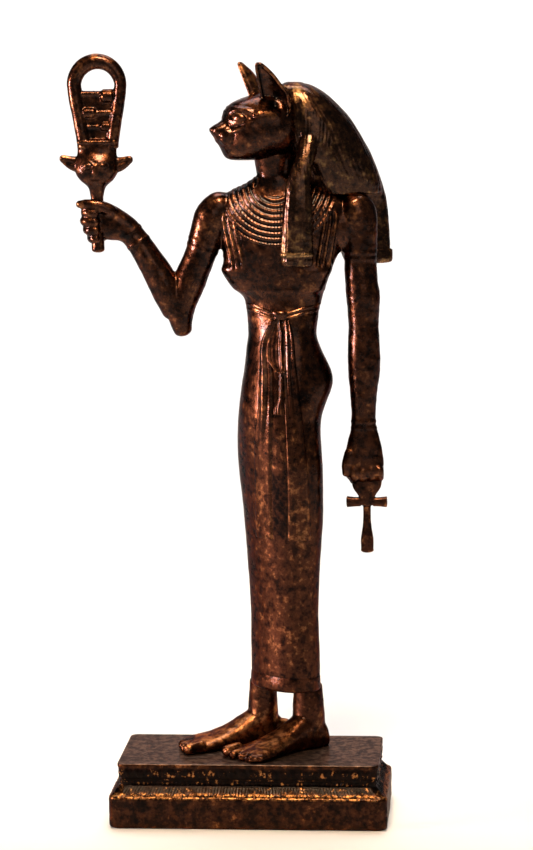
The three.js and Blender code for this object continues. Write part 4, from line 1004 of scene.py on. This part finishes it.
front_lappet = standing_shell([
    [192.6, 14.2, 26.7, -8.3, 3.2, 2.3], [202, 14.5, 26.7, -8.6, 3.4, 2.3],
    [212.7, 15.1, 26.5, -8.7, 3.5, 2.3], [218, 15.7, 26.4, -8.4, 3.6, 2.3],
    [224, 16.5, 26, -7.5, 3.4, 2.6], [229, 18.2, 26.4, -6.2, 3.8, 2.5],
    [235.8, 20.6, 28, -3.6, 4, 2.4], [242, 21.8, 29, -0.6, 3.8, 2.2], [248, 22.5, 29.5, 3, 3.4, 2.2],
], 80, columns=100)
back_lappet = standing_shell([
    [192.6, 2.2, 14.2, 18.2, 2.5, 2.6], [202, 2.3, 14.2, 18.6, 2.7, 2.6], [217, 3, 14.1, 19.6, 3, 2.6],
    [225.5, 4.8, 14.4, 20.4, 3.4, 2.6], [233, 7, 16, 20.4, 4, 2.4], [242, 11.5, 20, 18.6, 4, 2.2],
    [248, 13, 21, 16.6, 3.4, 2.2],
], 80, columns=100)
hair_skin = fused("hair", [cap, tail, front_lappet, back_lappet], voxel=0.46, easing=8)


# %% Strands and bands
def strand_relief(points):
    """Strands fall with the hair: a cosine of the way round an upright axis, 12 mm out, and the axis moves
    back as the hair sweeps back. On the front lappet it is a cosine of x."""
    x, y, height = points.T
    axis = curve_through([192, 219, 240, 262], [[47, 16.4], [36, 16.5], [27, 12.8], [18.5, 9.4]])(height)
    way_round = 12 * np.arctan2(y - axis[:, 1], x - axis[:, 0])
    across = np.where(y < -2.5, x, way_round) + 0.5 * np.sin(height / 8 + x / 7) + 0.25 * np.sin(height / 3.3)
    return 0.055 * np.cos(2 * np.pi * across / 1.25) + 0.03 * np.cos(2 * np.pi * across / 2.9)


def hair_bands(points):
    """Low rings near the ends of the lappets, and a thick squared end on the tail."""
    x, height = points[:, 0], points[:, 2]
    rings = 0.45 * bell(height - BAND_HEIGHT, 0.6)
    rings += 0.18 * bell(height - 194.6, 0.45) + 0.12 * bell(height - 202, 0.4)
    tail_end = 0.95 * smooth_step(197.2, 196.6, height)
    return np.where(x > TAIL_EDGE, tail_end, rings)


points = hair_skin[0]
relief = strand_relief(points) + hair_bands(points) + cast_wobble(points)
# painted highlight along the bands near the ends of the lappets
lappet_band_painted_highlight = 0.5 * bell(points[:, 2] - BAND_HEIGHT + 0.1, 0.7) * (points[:, 0] < TAIL_EDGE)
piece("figure_headcloth", raised(hair_skin, relief), FIGURE_SLOT, bronze_hair, stain_and_painted_light=-lappet_band_painted_highlight)

# %% [markdown]
# ## The sistrum
#
# The rattle is a loop of rod on a cow-eared mask, with three cross rods that carry sliding discs, and a
# round handle that runs down through the fist. The loop is a round profile carried along an arch, and mask
# and ears are limbs. Everything is fused with a fine voxel, since the piece is small.

# %% Loop, rods and discs
def loop_frame(middle, foot, crown_base, half_width, radius, crown_rise, crown_radius, lean=0.2, sides=28):
    """A round profile carried up one side, over an arch where it is thicker, and down the other, which is
    thicker by twice the lean."""
    straight, level = np.linspace(foot, crown_base, 50), np.zeros(50)
    arch = np.linspace(0, np.pi, 52)[1:-1]
    side = np.concatenate([level + 1, np.cos(arch), level - 1])
    rise = np.concatenate([level, np.sin(arch), level])
    outer = half_width(np.concatenate([straight, level + crown_base, straight[::-1]]))
    thick = radius + (crown_radius - radius) * rise - lean * side
    x = middle + (outer - thick) * side
    z = np.concatenate([straight, level, straight[::-1]])
    z = np.where(rise > 0, crown_base + (crown_rise - thick) * rise, z)
    tangent = np.stack([np.gradient(x), np.gradient(z)], axis=-1)
    tangent /= np.linalg.norm(tangent, axis=1, keepdims=True)
    a = np.linspace(0, 2 * np.pi, sides, endpoint=False)
    inwards = thick[:, None] * np.cos(a)
    return shell(np.stack([
        x[:, None] - tangent[:, 1:] * inwards,
        radius * 1.05 * np.ones_like(x)[:, None] * np.sin(a),
        z[:, None] + tangent[:, :1] * inwards,
    ], axis=-1))


def upright(x, y, *rows):
    """Stations straight up, from (height, half width, half thickness) rows."""
    return [[x, y, *row] for row in rows]


def both_ways(x, reach, z, half, thick):
    """Two stations of a level rod, as far as reach to either side of x, at the height z."""
    return [[x - reach, 0, z, half, thick], [x + reach, 0, z, half, thick]]


RATTLE_MIDDLE, HANDLE, CROWN_BASE = -56.6, -57.3, 262
half_width = curve_through([235, 240.4, 249, 256, CROWN_BASE], [7.7, 8.2, 9.6, 10.9, 11.6])
rattle = [
    loop_frame(RATTLE_MIDDLE, 238, CROWN_BASE, half_width, 2.6, 12.0, 3.0),
    limb(upright(RATTLE_MIDDLE, 0, (239, 5.4, 1.2), (248, 6.6, 1.2), (259.6, 8.0, 1.2)), UPRIGHT,
         roundness=(0, 0), squareness=6),
    limb(both_ways(RATTLE_MIDDLE - 0.15, 8.05, 240.2, 1.3, 3.0), LEVEL, roundness=(0.9, 0.9)),
]
for z in (258.6, 251.4, 246.0):
    rattle.append(limb(both_ways(RATTLE_MIDDLE, half_width(z) - 2.0, z, 1.2, 1.7), LEVEL,
                       roundness=(0, 0), sides=20))
for x, z, reach, high in ((-52.4, 257.7, 2.8, 2.75), (-59.6, 251.4, 2.8, 2.3), (-53.2, 246.0, 2.3, 2.0)):
    rattle.append(limb(both_ways(x, reach, z, high, high * 1.15), LEVEL, roundness=(0.45, 0.45), sides=28))
print(len(rattle), "shells of the rattle")

# %% Mask, ears and handle
rattle.append(limb([[HANDLE + 0.3, 0, 241, 7.8, 2.8], [HANDLE + 0.3, 0, 236.4, 7.6, 3.0],
                    [HANDLE + 0.2, 0, 233, 8.1, 4.8], [HANDLE, 0, 229, 8.4, 5.4],
                    [HANDLE, 0, 225.6, 6.5, 4.8], [HANDLE, 0, 222.8, 3.5, 3.2],
                    [HANDLE, 0, 219, 2.5, 2.5]], UPRIGHT, roundness=(0.1, 0)))
for side, droop in ((-1, 0), (1, 0.5)):
    rattle.append(limb([[HANDLE + side * 5.6, 0, 231.2, 3.4, 1.8],
                        [HANDLE + side * 9.6, -0.3, 232.3 - droop, 2.7, 1.4],
                        [HANDLE + side * 14.2, -0.6, 234.5 - droop, 1.1, 0.9]], LEVEL, roundness=(1, 0.8)))
rattle.append(limb(upright(HANDLE, 0, (197.4, 2.55, 2.55), (210, 2.5, 2.5), (222, 2.5, 2.5)), UPRIGHT,
                   roundness=(0.45, 0)))
rattle_skin = fused("rattle", rattle, voxel=0.3, easing=4)


MASK_EYE_X, MASK_EYE_HEIGHT = 3.1, 231.2


def mask_relief(points):
    """Front and back alike: two eye domes, a nose ridge and a mouth groove, and a groove in each ear."""
    x, z = points[:, 0] - HANDLE, points[:, 2]
    side = np.abs(x)
    facing = smooth_step(1.2, 2.6, np.abs(points[:, 1]))
    aside, above = side - MASK_EYE_X, z - MASK_EYE_HEIGHT
    eyes = 0.7 * np.sqrt(np.clip(1 - (aside / 1.7) ** 2 - (above / 1.15) ** 2, 0, 1))
    lids = 0.2 * bell(np.hypot(aside / 2.3, above / 1.7) - 1, 0.25)
    nose = 0.5 * bell(side, 0.9) * smooth_step(226.8, 228.4, z) * smooth_step(232.5, 231, z)
    mouth = -0.3 * bell(z - 225.9, 0.4) * smooth_step(2.2, 1.6, side)
    cup = -0.4 * bell(z - 232 - 0.3 * (side - 9), 0.7)
    cup *= smooth_step(8, 9, side) * smooth_step(13, 11.5, side)
    return facing * (eyes + lids + nose + mouth) + cup * (z > 224)


points = rattle_skin[0]
relief = mask_relief(points) + 0.5 * cast_wobble(points)
piece("figure_sistrum", raised(rattle_skin, relief), FIGURE_SLOT, bronze)

# %% [markdown]
# ## The ankh
#
# The looped cross hangs from the left fist: a flaring foot with a rounded end, two short arms, and a loop
# whose lower part shows below the fingers. It is three limbs with squared ovals and an egg, fused.

# %% Looped cross
ANKH_X, ANKH_Y, ARMS_HEIGHT = 46.05, 4, 99
ankh = [
    limb(upright(ANKH_X, ANKH_Y, (79.4, 2.4, 1.7), (84, 2.5, 1.8), (89, 1.8, 1.7), (94, 1.45, 1.6),
                 (101, 1.6, 1.7)), UPRIGHT, roundness=(0.5, 0), squareness=3.2),
    limb([[ANKH_X + x, ANKH_Y, ARMS_HEIGHT, half, thick]
          for x, half, thick in ((-8.0, 2.15, 1.7), (-4, 1.75, 1.6), (4, 1.75, 1.6), (8.0, 2.15, 1.7))],
         LEVEL, roundness=(0.15, 0.15), squareness=3.6),
    limb(upright(ANKH_X, ANKH_Y, (99.5, 2.6, 1.7), (101.6, 3.4, 1.7), (105, 5.5, 1.7), (110, 6, 1.7)),
         UPRIGHT, roundness=(0, 0), squareness=3.6),
    egg((ANKH_X, ANKH_Y, 79.9), (2.6, 1.9, 1.2)),
]
ankh_skin = fused("ankh", ankh, voxel=0.28, easing=3)
points = ankh_skin[0]
groove = -0.4 * bell(points[:, 2] - ARMS_HEIGHT + 1.6, 0.3) * (np.abs(points[:, 0] - ANKH_X) < 2.4)
relief = groove + 0.5 * cast_wobble(points)
piece("figure_ankh", raised(ankh_skin, relief), FIGURE_SLOT, bronze)

# %% [markdown]
# ## Feet
#
# Each bare foot is a row of ovals carried from the heel to the ball, cut flat at the sole, with five toes as
# limbs and a shin that rises into the dress. Toenails are shallow grooves round a point on each toe.

# %% Heel to toe
def leg(heel, walking, outer, behind, arch, shin_radius):
    """The shells of one foot and shin, and the places of its nails. Walking is the way it points, in degrees,
    outer the side of its little toe, behind how far the heel stands out, and arch a share of the instep."""
    walking = np.radians(walking)
    ahead = np.array([-np.cos(walking), -np.sin(walking), 0])
    aside = np.array([-ahead[1], ahead[0], 0]) * outer
    start = np.array([heel[0], heel[1], 0.0])

    def at(along, across, height):
        along, across, height = (np.asarray(v, float)[..., None] for v in (along, across, height))
        return start + ahead * along + aside * across + np.array([0, 0, 1.0]) * height

    table = np.array([
        [-behind, 0, 3.2, 4], [1.2 - behind, 0, 4.8, 8.4], [3, 0, 5.8, 12.5], [9, 0, 5.9, 14.5 * arch],
        [14, 0.2, 5.9, 12.4 * arch], [20, 0.4, 6.4, 9.0 * arch], [27, 0.8, 8, 6.2 * arch],
        [33, 1.3, 9.3, 4.5], [37, 1.3, 9.1, 3.5], [40, 0.6, 7.4, 2.5],
    ])
    along = np.linspace(-behind, 40, 60)
    middle, half, instep = curve_through(table[:, 0], table[:, 1:])(along).T
    across, up = oval(np.linspace(0, 360, 56, endpoint=False), 2.4)
    rise = np.maximum(instep[:, None] * (0.45 + 0.55 * up), -0.3)
    place = np.broadcast_to(along[:, None], rise.shape)
    shells = [shell(at(place, middle[:, None] + half[:, None] * across, rise))]
    nails = []
    toes = ((43.6, -6.2, 2.3), (43.2, -1.6, 1.8), (42.0, 2.6, 1.7), (40.0, 6.5, 1.6), (37.4, 9.7, 1.5))
    for reach, side, radius in toes:
        part = np.array([0, 0.55, 1])
        path = at(reach - 9 * (1 - part), side * (0.88 + 0.12 * part), radius * (1.35 - 0.37 * part))
        stations = np.column_stack([path, np.full(3, radius), np.full(3, radius * 0.95)])
        shells.append(limb(stations, aside, rows=40, sides=28, roundness=(0.5, 0.9)))
        nails.append(np.append(at(reach - 0.2 * radius, side, radius * 1.75), radius * 0.55))
    shin = np.array([[6.4, -0.4, 3, 0.94], [6.1, -0.5, 11, 1], [6.2, -0.6, 18, 0.95],
                     [6.3, -0.9, 25.4, 0.88]])
    half = shin[:, 3] * shin_radius
    path = at(shin[:, 0], shin[:, 1], shin[:, 2])
    shells.append(limb(np.column_stack([path, half, half * 0.96]), aside, roundness=(0.4, 0)))
    return shells, nails


SOLE_SINKS = 0.1
near_leg, near_nails = leg([27.4, 9.7], 38.5, 1, behind=1.3, arch=1, shin_radius=6.6)
far_leg, far_nails = leg([8.4, 17.6], 31, -1, behind=2.9, arch=0.94, shin_radius=6.2)
web = egg((11.3, 14.5, 4.5), (4.5, 4.0, 4.6))
feet_skin = fused("feet", near_leg + far_leg + [web], voxel=0.4, easing=6)
relief = cast_wobble(feet_skin[0])
for x, y, z, radius in near_nails + far_nails:
    away = np.linalg.norm(feet_skin[0] - [x, y, z], axis=1)
    relief -= 0.15 * bell(away - radius * 1.3, 0.4)
points, quads, triangles = raised(feet_skin, relief)
points[:, 2] = np.maximum(points[:, 2], -SOLE_SINKS)
x, height = points[:, 0], points[:, 2]
# painted highlight on the tops of the feet, lit from above
instep_painted_highlight = 0.45 * smooth_step(2, 5, height) * smooth_step(16, 11, height) * smooth_step(21, 14, x)
piece("figure_feet", (points, quads, triangles), FIGURE_SLOT, bronze, stain_and_painted_light=-instep_painted_highlight)

# %% [markdown]
# ## The plinth
#
# A slab carries a hollow cornice with a row of rounded tongues, a row of beads, and a sloping ledge combed
# with fine grooves. It is one profile carried round a rounded rectangle. The ornament is a function of the
# height and of the distance along each side, with a whole number of tongues to a side.

# %% A profile carried round the plinth
SLAB_LENGTH, SLAB_DEPTH, CORNICE_INSET, CORNICE_HOLLOW = 108.6, 53.0, 3.25, 1.1
LEDGE_TOP, SLOPE_TOP, FOOT_ROUND = SLAB_HEIGHT + 3.2, SOLES - 0.15, 1.3
TONGUE, BEAD, COMB, OFF_CELLS, CORNER_COLUMNS = 4.3, 2.1, 1.25, 9.0, 9


def around_plinth(step):
    """Columns round a rectangle: the share of each half side to go, the outward direction, how far along its
    side each column lies, and how long that side is."""
    places, turns, along, lengths = [], [], [], []
    corners = [(1, -1), (1, 1), (-1, 1), (-1, -1)]
    for k, (x, y) in enumerate(corners):
        next_x, next_y = corners[(k + 1) % 4]
        length = (SLAB_LENGTH if y == next_y else SLAB_DEPTH) - 2 * CORNICE_INSET
        share = np.linspace(0, 1, int(length / step))[1:-1]
        go = np.r_[np.zeros(CORNER_COLUMNS), share]
        places.append(np.column_stack([x + (next_x - x) * go, y + (next_y - y) * go]))
        corner_turn = 90 * (k - 1) + np.linspace(0, 90, CORNER_COLUMNS)
        turns.append(np.r_[corner_turn, np.full(len(share), 90 * k)])
        along.append(np.r_[np.full(CORNER_COLUMNS, np.nan), share * length])
        lengths.append(np.full(len(go), length))
    turn = np.radians(np.concatenate(turns))
    outward = np.column_stack([np.cos(turn), np.sin(turn)])
    return np.concatenate(places), outward, np.concatenate(along), np.concatenate(lengths)


def cell(along, length, pitch):
    """The distance from the middle of a cell, in millimetres, with a whole number of cells to the side. Round
    a corner, where there are none, it is a large one."""
    width = length / np.round(length / pitch)
    return np.where(np.isnan(along), OFF_CELLS, (along % width) - width / 2)


print("a long side takes", round((SLAB_LENGTH - 2 * CORNICE_INSET) / TONGUE), "tongues")


# %% Tongues, beads and the combed ledge
def plinth_relief(height, along, length):
    """Tongues under the lip, beads under them and grooves down the ledge, all softened by the casting."""
    across = cell(along, length, TONGUE)
    shape = 1 - np.abs(across / 1.85) ** 2.6 - np.abs((height - 21.2) / 1.8) ** 2.6
    tongue = 0.42 * smooth_step(0, 0.9, shape) - 0.16 * bell(across, 0.35) * smooth_step(0.1, 0.5, shape)
    rib = 0.22 * bell(height - 18.9, 0.3)
    bead = cell(along, length, BEAD)
    beads = 0.5 * np.sqrt(np.clip(1 - (bead / 0.85) ** 2 - ((height - 17.5) / 0.85) ** 2, 0, 1))
    comb = cell(along, length, COMB)
    on_ledge = smooth_step(SLAB_HEIGHT - 0.2, SLAB_HEIGHT + 0.5, height)
    on_ledge = on_ledge * smooth_step(LEDGE_TOP, LEDGE_TOP - 0.5, height)
    grooves = on_ledge * (0.12 * np.cos(2 * np.pi * comb / COMB) * (np.abs(comb) < COMB) - 0.1)
    uneven = 0.85 + 0.2 * np.sin(along * 0.31 + height) * np.sin(along * 0.13 + 2)
    return (tongue + rib + beads + grooves) * np.nan_to_num(uneven, nan=1.0)


ledge, hollow = LEDGE_TOP - SLAB_HEIGHT, LIP_BOTTOM - LEDGE_TOP - 0.2
round_foot = np.linspace(0, np.pi / 2, 6)
levels = [(2.8, 0)]
levels += [(FOOT_ROUND * (1 - np.sin(a)), FOOT_ROUND * (1 - np.cos(a))) for a in round_foot]
levels += [(0, z) for z in np.linspace(1.7, SLAB_HEIGHT - 1.5, 13)]
levels += [(0.06, SLAB_HEIGHT - 0.9), (0.25, SLAB_HEIGHT - 0.45), (0.6, SLAB_HEIGHT - 0.12)]
levels += [(1.0 + 2.95 * s, SLAB_HEIGHT + ledge * s) for s in np.linspace(0, 1, 9)]
levels += [(CORNICE_INSET + 0.3 + (CORNICE_HOLLOW - 0.4) * (1 - s) ** 2, LEDGE_TOP + 0.15 + hollow * s)
           for s in np.linspace(0, 1, 34)]
lip = [(0.1, LIP_BOTTOM + 0.1), (0, LIP_BOTTOM + 0.35), (0, SOLES - 0.6), (0.16, SLOPE_TOP), (0.6, SOLES),
       (1.2, SOLES), (4.2, SOLES)]
levels += [(CORNICE_INSET + inwards, z) for inwards, z in lip]
inset, height = np.array(levels).T[:, :, None]
places, outward, along, length = around_plinth(0.31)
radius = np.maximum(3.6 - 0.25 * inset, 0.8)
lift = plinth_relief(height, along[None, :], length[None, :]) * (height > SLAB_HEIGHT - 0.3)
half = np.stack([SLAB_LENGTH / 2 - inset - radius, SLAB_DEPTH / 2 - inset - radius], axis=-1)
level_place = half * places[None] + outward[None] * (radius + lift)[..., None]
rings = np.concatenate([level_place, np.broadcast_to(height, lift.shape)[..., None]], axis=-1)
wobble = cast_wobble(rings) * smooth_step(0.3, 2.0, height) * smooth_step(SOLES - 0.3, SOLES - 2, height)
rings[..., :2] += outward[None] * wobble[..., None] * 1.5
piece("plinth_with_ornament", shell(rings), PLINTH_SLOT, bronze_plinth, above=0)

# %% [markdown]
# ## Floor, light and camera
#
# The photograph has a white ground, a cool pink glow from the left and a warm light from above. A pale floor
# sweeps up behind the piece. Two small lamps with narrow spreads give the glow and the warm light, a large
# one fills from the front, and one lights the ground behind. The camera stands where the lines of the plinth
# say that it stood: 1.1 m away, a little to the right and above.

# %% Pale floor that sweeps up behind
FLOOR_FRONT, SWEEP_START, SWEEP_RADIUS, WALL_TOP, FLOOR_HALF_WIDTH = -3, 1.2, 1.2, 4.0, 1.6
turn = np.linspace(0.1, np.pi / 2, 16)
sweep = np.concatenate([
    np.column_stack([np.linspace(FLOOR_FRONT, SWEEP_START, 12), np.zeros(12)]),
    np.column_stack([SWEEP_START + SWEEP_RADIUS * np.sin(turn), SWEEP_RADIUS * (1 - np.cos(turn))]),
    [[SWEEP_START + SWEEP_RADIUS, WALL_TOP]],
])
floor_points = np.array([[x, y, z] for y, z in sweep for x in (-FLOOR_HALF_WIDTH, FLOOR_HALF_WIDTH)])
k = np.arange(len(sweep) - 1) * 2
floor_mesh = bpy.data.meshes.new("floor")
floor_mesh.from_pydata(floor_points.tolist(), [], np.column_stack([k, k + 1, k + 3, k + 2]).tolist())
floor_mesh.shade_smooth()
floor = bpy.data.objects.new("floor", floor_mesh)
bpy.context.scene.collection.objects.link(floor)
paper = bpy.data.materials.new("white_card")
paper.use_nodes = True
surface = paper.node_tree.nodes["Principled BSDF"].inputs
surface["Base Color"].default_value = linear("#eceae7")
surface["Roughness"].default_value = 0.9
floor_mesh.materials.append(paper)
floor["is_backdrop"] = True
print("floor sweep of", len(k), "strips")

# %% Soft lamps
def soft_lamp(name, place, aim, size, watts, colour, spread=180):
    """A square area lamp at place that looks at aim. Its spread, in degrees, is how wide it shines."""
    data = bpy.data.lights.new(name, "AREA")
    data.spread = np.radians(spread)
    data.size, data.energy, data.color = size, watts, linear(colour)[:3]
    lamp = bpy.data.objects.new(name, data)
    lamp.location = place
    lamp.rotation_euler = (Vector(aim) - Vector(place)).to_track_quat("-Z", "Y").to_euler()
    bpy.context.scene.collection.objects.link(lamp)


soft_lamp("left_pink", (-1.0, -0.32, 0.24), (0.0, 0.0, 0.22), 0.24, 0.95, "#ffe4e8", spread=40)
soft_lamp("top_gold", (0.0, -0.45, 1.0), (0.0, 0.03, 0.24), 0.26, 0.8, "#ffe0b8", spread=38)
soft_lamp("front_fill", (0.35, -1.5, 0.8), (0.0, 0.0, 0.17), 0.9, 2.5, "#fff4ea")
soft_lamp("backdrop_light", (0.0, 1.0, 2.2), (0.0, 1.9, 0.4), 1.6, 64, "#ffffff")
world = bpy.data.worlds.new("studio")
world.use_nodes = True
surroundings = world.node_tree.nodes["Background"].inputs
surroundings["Color"].default_value = linear("#d8d4cc")
surroundings["Strength"].default_value = 0.15
bpy.context.scene.world = world
bpy.context.scene.view_settings.view_transform = "Standard"
print("four lamps and a dim grey room")

# %% Camera at the photograph's viewing angle
CAMERA_PLACE = (0.0938, -1.075, 0.3125)
SENSOR_MM, PHOTO_PIXELS, FOCAL_PIXELS = 36, 850, 2800
azimuth, elevation, roll = np.radians([4.6, 8.3, -0.69])
flat = np.cos(elevation)
back = np.array([np.sin(azimuth) * flat, -np.cos(azimuth) * flat, np.sin(elevation)])
aside = np.cross(-back, [0, 0, 1])
aside /= np.linalg.norm(aside)
upward = np.cross(aside, -back)
to_world = np.eye(4)
to_world[:3, 0] = aside * np.cos(roll) + upward * np.sin(roll)
to_world[:3, 1] = upward * np.cos(roll) - aside * np.sin(roll)
to_world[:3, 2] = back
to_world[:3, 3] = CAMERA_PLACE
camera_data = bpy.data.cameras.new("camera")
camera_data.sensor_fit = "AUTO"
camera_data.sensor_width = SENSOR_MM
camera_data.lens = SENSOR_MM * FOCAL_PIXELS / PHOTO_PIXELS
camera = bpy.data.objects.new("camera", camera_data)
camera.matrix_world = Matrix(to_world.tolist())
bpy.context.scene.collection.objects.link(camera)
bpy.context.scene.camera = camera
print("the lens is", round(camera_data.lens, 1), "mm")

# %% The visual box, and finish
low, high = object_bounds()
print("visual box", [round(v / MM, 1) for v in low], "to", [round(v / MM, 1) for v in high], "mm")
